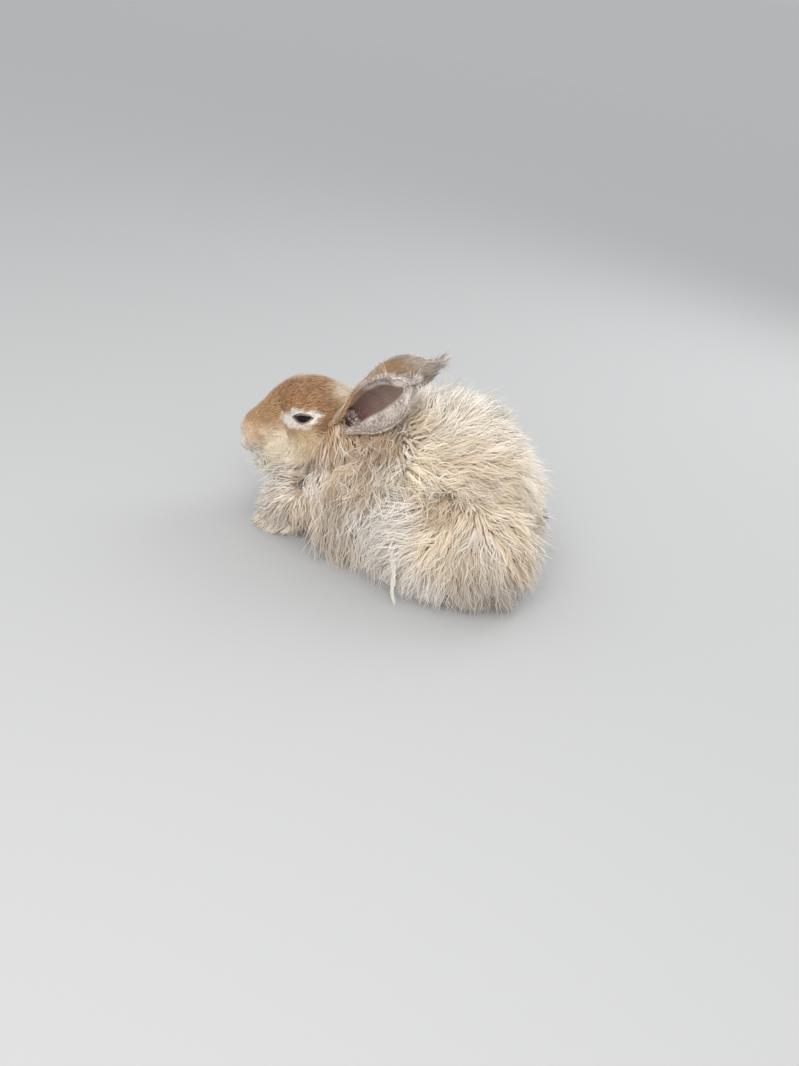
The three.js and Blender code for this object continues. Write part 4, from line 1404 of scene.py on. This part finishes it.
def make_face():
    rng = np.random.default_rng(9)
    path, normals, length, roots = face_paths(rng)
    local = placed(HEAD_BACK, roots)
    count = len(roots)
    along, falling = squeezed(local, vec(1, 0, 0)), squeezed(local, vec(-0.75, 0, -0.65))
    streak = mixed(ripple(along, STREAK, 33), ripple(falling, STREAK, 34), on_cheek(local)[:, None])
    tint = rng.normal(size=count) * 0.1 + 0.13 * streak[:, 0]
    base = markings(roots + 0.4 * (path[:, -1] - roots))
    ticked = ((rng.random(count) < 0.3) * rng.uniform(0.15, 0.5, count))[:, None]
    pale = ramp(base.mean(axis=1), 0.35, 0.7)[:, None]
    # roots darker than the base colour, most where the fur is dark: partly the hairs' own darker base and
    # partly painted shade deep in the fur
    low = base * mixed(0.82, 0.96, pale) * (1 + tint)[:, None]
    golden = np.clip((0.15 + ticked) * (1 - pale) + 0.16 * streak[:, 1:2] * pale, 0, 1)
    high = mixed(base, GOLD, golden) * (1.08 + tint)[:, None]
    width = np.minimum(0.38 + 0.014 * length, 0.6) * rng.uniform(0.7, 1.3, count)
    angle = np.arctan2(local[:, 1], local[:, 2]) / (2 * math.pi) + 0.5
    uv = on_map(angle, np.clip(local[:, 0] / HEAD, 0, 1))

    def make(piece, part):
        look = (low[part], high[part], uv[part], face_look, "head_fur")
        strands_piece(piece, path[part], normals[part], width[part], *look)

    split_pieces("face_fur", local, FACE_STEPS, make)


# Ears
EAR_INSIDE, EAR_ROOT_PINK_SHADE = linear(122, 102, 93), linear(98, 66, 68)
EAR_GREY, EAR_TAN, EAR_DARK = linear(216, 204, 195), linear(186, 150, 112), linear(140, 124, 112)
BAND_LOW, BAND_HIGH, BAND_TIP = 0.24, 0.6, 0.16  # where the haired band inside begins, from spine to rims
EAR_ROWS, EAR_COLUMNS = 70, 64
NEAR_TIP = 0.86
EAR_STEPS = 2
EAR_HAIRS = {"back": 4600, "rim": 4800, "tip": 500, "inner": 160}
TIP_WISPS = {"left": 0.35, "right": 1}  # how long the wisps at the tips are


def ear_point(ear, u, arc, over):
    """Points of an ear, u from its root to its tip and arc from rim to rim, and the way out of its back."""
    length, face, side = ear_axes(ear)
    radius = curve(EAR_RADIUS, u)
    turn = np.radians(curve(EAR_ROLL, u)) * arc
    out = -face * np.cos(turn)[:, None] + side * np.sin(turn)[:, None]
    lift = radius - EAR_BEND * np.sin(math.pi * np.clip(u, 0, 1))
    spine = ear["root"] + length * (EAR_LONG * u)[:, None] + face * lift[:, None]
    return spine + out * (radius + over)[:, None], out


def half_thick(arc):
    return mixed(EAR_SPINE, EAR_RIM, np.abs(arc)) / 2


def band_start(u, low_arc):
    """Where the haired band begins. Low_arc is 1 at the lower rim and -1 at the upper one."""
    start = mixed(BAND_HIGH, BAND_LOW, ramp(low_arc, -0.3, 0.3))
    return mixed(start, BAND_TIP, ramp(u, 0.62, 0.92))


def upper_base(u, low_arc):
    return ramp(-low_arc, 0.2, 0.6) * (1 - ramp(u, 0.3, 0.6))


def ear_colour(u, low_arc, back):
    """Colour of an ear's skin: bare and brownish pink inside, darker and pinker towards the root with painted
    shade of the cup, paler in the band, tan and fawn on its back.
    """
    start = band_start(u, low_arc)
    band = ramp(np.abs(low_arc), start - 0.1, start + 0.12)[:, None]
    haired = mixed(EAR_GREY, EAR_TAN, 0.9 * upper_base(u, low_arc)[:, None]) * 0.9
    # painted shade deep in the cup: the bare skin darker, and pinker, towards the root
    inside = mixed(mixed(EAR_ROOT_PINK_SHADE, EAR_INSIDE, ramp(u, 0.05, 0.6)[:, None]), haired, band)
    outside = mixed(EAR_TAN * 0.6, EAR_GREY * 0.7, ramp(u, 0.6, 0.95)[:, None])
    return np.where(back[:, None], outside, inside)


def make_ear(name):
    """An ear's skin, a thin shell that is rolled to a tube at its root and opens to its tip."""
    ear = EARS[name]
    along, across = np.linspace(-EAR_BURIED, 1, EAR_ROWS + 1), np.linspace(-1, 1, EAR_COLUMNS + 1)
    u, arc = (part.ravel() for part in np.meshgrid(along, across, indexing="ij"))
    soft = 0.5 * ripple(ways(u * EAR_LONG, arc * 20, 0), 16, 41)[:, 0]
    outer, _ = ear_point(ear, u, arc, half_thick(arc) + soft)
    inner, _ = ear_point(ear, u, arc, -half_thick(arc) + soft)
    grid = np.arange(len(u)).reshape(EAR_ROWS + 1, EAR_COLUMNS + 1)
    a, b, c, d = (part.ravel() for part in (grid[:-1, :-1], grid[:-1, 1:], grid[1:, 1:], grid[1:, :-1]))
    rim = np.concatenate([grid[:-1, 0], grid[-1, :-1], grid[:0:-1, -1], grid[0, :0:-1]])
    after = np.roll(rim, -1)
    quads = [(a, b, c, d), np.array([a, d, c, b]) + len(u), (rim, after, len(u) + after, len(u) + rim)]
    faces = np.vstack([np.stack(quad, axis=1) for quad in quads])
    colours = ear_colour(np.tile(u, 2), -SIDES[name] * np.tile(arc, 2), np.repeat([True, False], len(u)))
    piece = mesh_piece(f"ear_{name}_skin", np.vstack([outer, inner]), faces, ear_look, colours)
    mounted(piece, "ear", f"ear_{name}")
    make_ear_fur(name, ear)


def ear_strands(rng, ear, u, arc, face, length, lean, across):
    """Short strands on an ear: towards its tip, and by a share across to the rim."""
    over = face * half_thick(arc)
    root, out = ear_point(ear, u, arc, over)
    to_tip = unit(ear_point(ear, u + 0.02, arc, over)[0] - root)
    to_rim = unit(ear_point(ear, u, arc + 0.02 * np.sign(arc), over)[0] - root)
    normal = out * np.sign(face)[:, None]
    lie = laid(to_tip * (1 - np.abs(across))[:, None] + to_rim * across[:, None], normal)
    sway = rng.uniform(-22, 22, len(u))
    path = strand_path(root - 0.3 * normal, normal, lie, length, lean, lean * 0.9, sway, EAR_STEPS)
    at_tip, at_rim = ramp(u, 0.8, 1), ramp(np.abs(arc), 0.75, 1)
    edge = unit(to_tip * at_tip[:, None] + to_rim * at_rim[:, None] + 1e-9)
    soft = unit(mixed(normal, edge + vec(0, 0, 0.6), 0.9 * np.maximum(at_tip, at_rim)[:, None]))
    return path, normal, soft


def make_ear_fur(name, ear):
    """Short fur on an ear's back, a grizzled band inside its rim, wisps at its tip, fine hairs inside."""
    rng = np.random.default_rng(51 if name == "left" else 52)
    kinds = np.repeat(list(EAR_HAIRS), list(EAR_HAIRS.values()))
    back, rim, tip, inner = (kinds == kind for kind in EAR_HAIRS)
    count, lower = len(kinds), -SIDES[name]

    def draw(low, high):
        return rng.uniform(low, high, count)

    def some(share):
        return rng.random(count) < share

    u = draw(0.02, 1)
    u = np.where(rim, 0.06 + 0.93 * rng.random(count) ** 0.8, u)
    u = np.where(tip, draw(NEAR_TIP, 1), u)
    u = np.where(inner, draw(0.15, 0.8), u)
    arc = draw(-1, 1)
    low_rim = lower * mixed(1, band_start(u, 1.0), rng.random(count) ** 1.1)
    high_rim = -lower * mixed(1, band_start(u, -1.0), rng.random(count) ** 1.1)
    at_rim = np.where(some(0.68), low_rim, high_rim)
    at_rim = np.where(u > NEAR_TIP, arc, at_rim)
    arc = np.where(rim, at_rim, np.where(inner, 0.5 * arc, arc))
    face = np.where(back, 1.0, np.where(tip, rng.choice([-1, 1], count), -1.0))
    back_length = draw(3.5, 7.5) * (1 + 0.9 * ramp(u, 0.7, 1))
    lengths = [back_length, draw(2.4, 4.6), draw(9, 24) * TIP_WISPS[name]]
    length = np.select([back, rim, tip], lengths, draw(2, 4))
    lean = np.select([back, rim, tip], [draw(16, 42), draw(18, 46), draw(0, 18)], draw(20, 50))
    across = np.where(rim, draw(0.35, 0.95), 0.15 * rng.random(count))
    across = np.where(tip | (rim & (u > NEAR_TIP)), 0.1, across)
    # The back's fur is long and thick at its root. Some of the rim's hairs fill the root, and some stand out
    # from the edge as a fringe
    collar = back & some(0.3)
    u = np.where(collar, 0.5 * rng.random(count) ** 1.6 - 0.07, u)
    length = np.where(collar, draw(6, 13) * (1 - u), length)
    lean = np.where(collar, draw(20, 48), lean)
    tuft = rim & some(0.09)
    u = np.where(tuft, draw(0, 0.12), u)
    arc = np.where(tuft, draw(-1, 1), arc)
    length = np.where(tuft, draw(3, 8), length)
    fringe = rim & ~tuft & some(0.36)
    arc = np.where(fringe, np.sign(arc) * draw(0.94, 1), arc)
    lean = np.where(fringe, draw(30, 80), lean)
    face = np.where(fringe, rng.choice([-1.0, 1.0], count), face)
    path, normal, soft = ear_strands(rng, ear, u, arc, face, length, lean, across)
    warm = mixed(EAR_TAN * 0.7, CREAM * 0.9, rng.random((count, 1)))
    back_colour = mixed(EAR_TAN * 0.6, EAR_GREY * 0.78, (ramp(u, 0.5, 0.95) * 0.85)[:, None])
    back_colour = mixed(back_colour, warm, 0.6 * collar[:, None])
    rim_colour = mixed(EAR_GREY, EAR_DARK, (some(0.5) * 0.9)[:, None])
    rim_colour = mixed(rim_colour, EAR_TAN, (upper_base(u, lower * arc) * rim)[:, None])
    rim_colour = np.where(inner[:, None], EAR_INSIDE * 1.5, rim_colour)
    colour = np.where(back[:, None], back_colour, rim_colour) * (1 + 0.18 * rng.normal(size=count))[:, None]
    width = np.where(tip | inner, 0.34, 0.48) * draw(0.8, 1.2)
    uv_across = 0.01 + 0.47 * (arc + 1) / 2 + 0.49 * (face < 0)
    uv = np.stack([uv_across, 0.01 + 0.97 * np.clip(u, 0, 1)], axis=1)
    look = colour * 0.85, colour * 1.15, uv, face_look, "ear"
    strands_piece(f"ear_{name}_fur", path, normal, width, *look, soft=soft)


# Eyes
PUPIL, IRIS, IRIS_EDGE = linear(6, 5, 5), linear(52, 32, 24), linear(26, 18, 14)
EYE_WHITE = linear(70, 54, 48)
LID_RIM = 0.62  # radius of the bare rim of the lids
RIM_UPPER_SHADED, RIM_LOWER, RIM_FRONT = linear(84, 72, 68), linear(146, 122, 116), linear(136, 104, 110)


def eye_material():
    """A wet, clear coat over the painted ball."""
    material, tree, shader = new_material("eyeball", 0.12)
    tree.links.new(painted(tree), shader.inputs["Base Color"])
    shader.inputs["Specular IOR Level"].default_value = 0.1
    shader.inputs["Coat Weight"].default_value = 0.6
    shader.inputs["Coat IOR"].default_value = 1.4
    shader.inputs["Coat Roughness"].default_value = 0.04
    return material


eye_look = eye_material()


def make_eye(name, side):
    """An eyeball with a domed front: black pupil, deep brown iris with fine spokes, brownish white."""
    n, faces = ball(96, 72)
    along, up, out = eye_axes(side)
    local = n @ np.stack([out, along, np.cross(out, along)])
    off_axis = np.degrees(np.arccos(np.clip(local @ out, -1, 1)))
    spokes = 0.15 * np.sin(np.arctan2(local @ up, local @ along) * 46) * ramp(off_axis, 24, 34)
    cornea = 0.35 * (1 - ramp(off_axis, 30, 52))
    points = placed(HEAD_PLACE, eye_middle(side) + local * (EYE / 2 + cornea)[:, None])
    colours = mixed(PUPIL, IRIS * (1 + spokes)[:, None], ramp(off_axis, 22, 26)[:, None])
    colours = mixed(colours, IRIS_EDGE, ramp(off_axis, 44, 52)[:, None])
    colours = mixed(colours, EYE_WHITE, ramp(off_axis, 54, 58)[:, None])
    mounted(mesh_piece(f"eyeball_{name}", points, faces, eye_look, colours), "eye", f"eye_{name}")


def ring_tube(path, radius, sides):
    """A round tube along a closed path of points."""
    ahead = unit(np.roll(path, -1, axis=0) - np.roll(path, 1, axis=0))
    wide = unit(np.cross(ahead, unit(path.mean(axis=0) - path + 1e-6)))
    deep = np.cross(wide, ahead)
    turn = np.linspace(0, 2 * math.pi, sides, endpoint=False)
    ring = np.cos(turn)[None, :, None] * wide[:, None] + np.sin(turn)[None, :, None] * deep[:, None]
    grid = np.arange(len(path) * sides).reshape(-1, sides)
    after = np.roll(grid, -1, axis=0)
    corners = [grid, np.roll(grid, -1, axis=1), np.roll(after, -1, axis=1), after]
    faces = np.stack([part.ravel() for part in corners], axis=1)
    return (path[:, None] + ring * radius).reshape(-1, 3), faces


def on_lid(side, along_share, up, gap):
    """Places a gap before an eyeball, by their share of its opening's half length and their height."""
    along, upwards, out = eye_axes(side)
    x = along_share * EYE_OPEN / 2
    y = np.sqrt((EYE / 2 + gap) ** 2 - x ** 2 - up ** 2)
    return eye_middle(side) + x[..., None] * along + up[..., None] * upwards + y[..., None] * out


def make_lid_rim(name, side):
    """The bare dark rim that lines the lids, on the eyeball along their opening, darker along the upper lid
    with painted shade.
    """
    turn = np.linspace(0, 2 * math.pi, 120, endpoint=False)
    x, sides = np.cos(turn), 8
    path = on_lid(side, x, EYE_HIGH / 2 * (1 - x ** 2) * np.sign(np.sin(turn)), 0.15)
    points, faces = ring_tube(placed(HEAD_PLACE, path), LID_RIM, sides)
    # the upper half darker: the bare rim's own dark colour and painted shade under the upper lid
    colours = mixed(RIM_LOWER, RIM_UPPER_SHADED, ramp(np.sin(turn), -0.3, 0.3)[:, None])
    colours = mixed(colours, RIM_FRONT, ramp(-np.cos(turn), 0.7, 0.95)[:, None])
    colours = np.repeat(colours, sides, axis=0)
    mounted(mesh_piece(f"lid_rim_{name}", points, faces, lid_look, colours), "head_fur")


# Lashes and whiskers: how many there are, and their lengths and colours
LASHES, WHISKER_ROWS, WHISKER_COLUMNS = 26, 4, 4
LASH_LONG, WHISKER_LONG = (3.4, 5.6), (20, 32)
LASH_TONE, WHISKER_TONE = linear(196, 178, 160), linear(206, 198, 188)


def make_long_hairs():
    """Lashes on the upper lids, and whiskers in rows on each side of the nose."""
    rng = np.random.default_rng(77)
    hairs = []
    for side in SIDES.values():
        along, up, out = eye_axes(side)
        for place in np.linspace(-0.45, 0.92, LASHES):
            root = on_lid(side, place, EYE_HIGH / 2 * (1 - place ** 2) + 0.3, 0.4)
            lie = out + (0.5 + 0.5 * place) * along - 0.3 * up
            hairs.append((root, up, lie, rng.uniform(*LASH_LONG), 0))
        for row in range(WHISKER_ROWS):
            for column in range(WHISKER_COLUMNS):
                ahead = (7 + 4.2 * column) / (HEAD / 2) - 1
                root = face_path((ahead, side * 0.55, (2 - 3.2 * row) / 30))[0]
                lie = vec(0.2 + 0.3 * column, side, -0.1 - 0.35 * row) + rng.normal(size=3) * 0.12
                hairs.append((root, vec(0, 0, 1), lie, rng.uniform(*WHISKER_LONG), 1))
    local, normals, lies, lengths, whisker = (np.array(part) for part in zip(*hairs))
    normals = normals @ HEAD_TURN
    lies = laid(lies @ HEAD_TURN, normals)
    lift, curl = np.where(whisker, 2.0, -14.0), np.where(whisker, 8.0, -40.0)
    sway = rng.uniform(-10, 10, len(hairs))
    path = strand_path(placed(HEAD_PLACE, local) - 0.8 * lies, normals, lies, lengths, lift, curl, sway, 7)
    colour = np.where(whisker[:, None], WHISKER_TONE, LASH_TONE)
    width = np.where(whisker, 0.2, 0.24)
    uv = np.stack([0.5 + local[:, 1] / 80, 0.5 + local[:, 0] / 250], axis=1)
    strands_piece("lashes_and_whiskers", path, normals, width, colour, colour, uv, face_look, "head_fur")


make_coat()
make_face()
for side_name in SIDES:
    make_ear(side_name)
for side_name, side_y in SIDES.items():
    make_eye(side_name, side_y)
    make_lid_rim(side_name, side_y)
make_long_hairs()

# Floor and light, in metres
FLOOR_REACH = 60
FLOOR_TONE = (0.4, 0.4, 0.4, 1)
SKY_TONE = (0.97, 0.985, 1.0, 1)
SKY_LOW, SKY_HIGH = 0.47, 1.15


def make_floor():
    mesh = bpy.data.meshes.new("floor")
    corners = [(x * FLOOR_REACH, y * FLOOR_REACH, 0) for x, y in ((-1, -1), (1, -1), (1, 1), (-1, 1))]
    mesh.from_pydata(corners, [], [(0, 1, 2, 3)])
    material, _, shader = new_material("studio_floor", 0.9)
    shader.inputs["Base Color"].default_value = FLOOR_TONE
    shader.inputs["Specular IOR Level"].default_value = 0.1
    mesh.materials.append(material)
    floor = bpy.data.objects.new("floor", mesh)
    bpy.context.collection.objects.link(floor)


def area_light(name, place, target, size, watts, colour=(1, 1, 1)):
    light = bpy.data.lights.new(name, "AREA")
    light.shape = "DISK"
    light.size = size
    light.energy = watts
    light.color = colour
    lamp = bpy.data.objects.new(name, light)
    lamp.location = place
    lamp.rotation_euler = (Vector(target) - Vector(place)).to_track_quat("-Z", "Y").to_euler()
    bpy.context.collection.objects.link(lamp)


def make_light():
    """A soft sky, brightest overhead and as bright as the far floor at the horizon, and two large lamps."""
    world = bpy.data.worlds.new("studio")
    world.use_nodes = True
    nodes, links = world.node_tree.nodes, world.node_tree.links
    sky = nodes["Background"]
    sky.inputs["Color"].default_value = SKY_TONE
    way = nodes.new("ShaderNodeTexCoord")
    parts = nodes.new("ShaderNodeSeparateXYZ")
    level = nodes.new("ShaderNodeMapRange")
    for name, value in (("From Min", 0.08), ("From Max", 0.35), ("To Min", SKY_LOW), ("To Max", SKY_HIGH)):
        level.inputs[name].default_value = value
    links.new(way.outputs["Generated"], parts.inputs[0])
    links.new(parts.outputs["Z"], level.inputs["Value"])
    links.new(level.outputs["Result"], sky.inputs["Strength"])
    bpy.context.scene.world = world
    area_light("key", (-0.1, -0.95, 0.95), (0, 0, 0.06), 1.1, 12, (1.0, 0.985, 0.965))
    area_light("back", (0.7, 0.8, 0.9), (0, 0, 0.08), 0.9, 6)
    bpy.context.scene.view_settings.view_transform = "Standard"


# The photograph's view, from above the rabbit's left side, with the camera rolled a little
PHOTO_HIGH, FOCAL = 1066, 802  # in pixels
SENSOR = 36
CAMERA_AT, FORWARD = vec(81.1, -617.8, 388), vec(-0.089, 0.847, -0.524)
ROLL = 11.3


def make_camera():
    data = bpy.data.cameras.new("camera")
    data.sensor_width = SENSOR
    data.lens = FOCAL / PHOTO_HIGH * SENSOR
    data.clip_start, data.clip_end = 0.01, 20
    camera = bpy.data.objects.new("camera", data)
    forward = unit(FORWARD)
    right = unit(np.cross(forward, vec(0, 0, 1)))
    up = np.cross(right, forward)
    roll = math.radians(ROLL)
    across = right * math.cos(roll) + up * math.sin(roll)
    upright = up * math.cos(roll) - right * math.sin(roll)
    turn = Matrix(np.stack([across, upright, -forward], axis=1).tolist()).to_4x4()
    camera.matrix_world = Matrix.Translation((CAMERA_AT + SHIFT) * MM) @ turn
    bpy.context.collection.objects.link(camera)
    bpy.context.scene.camera = camera


make_floor()
make_light()
make_camera()
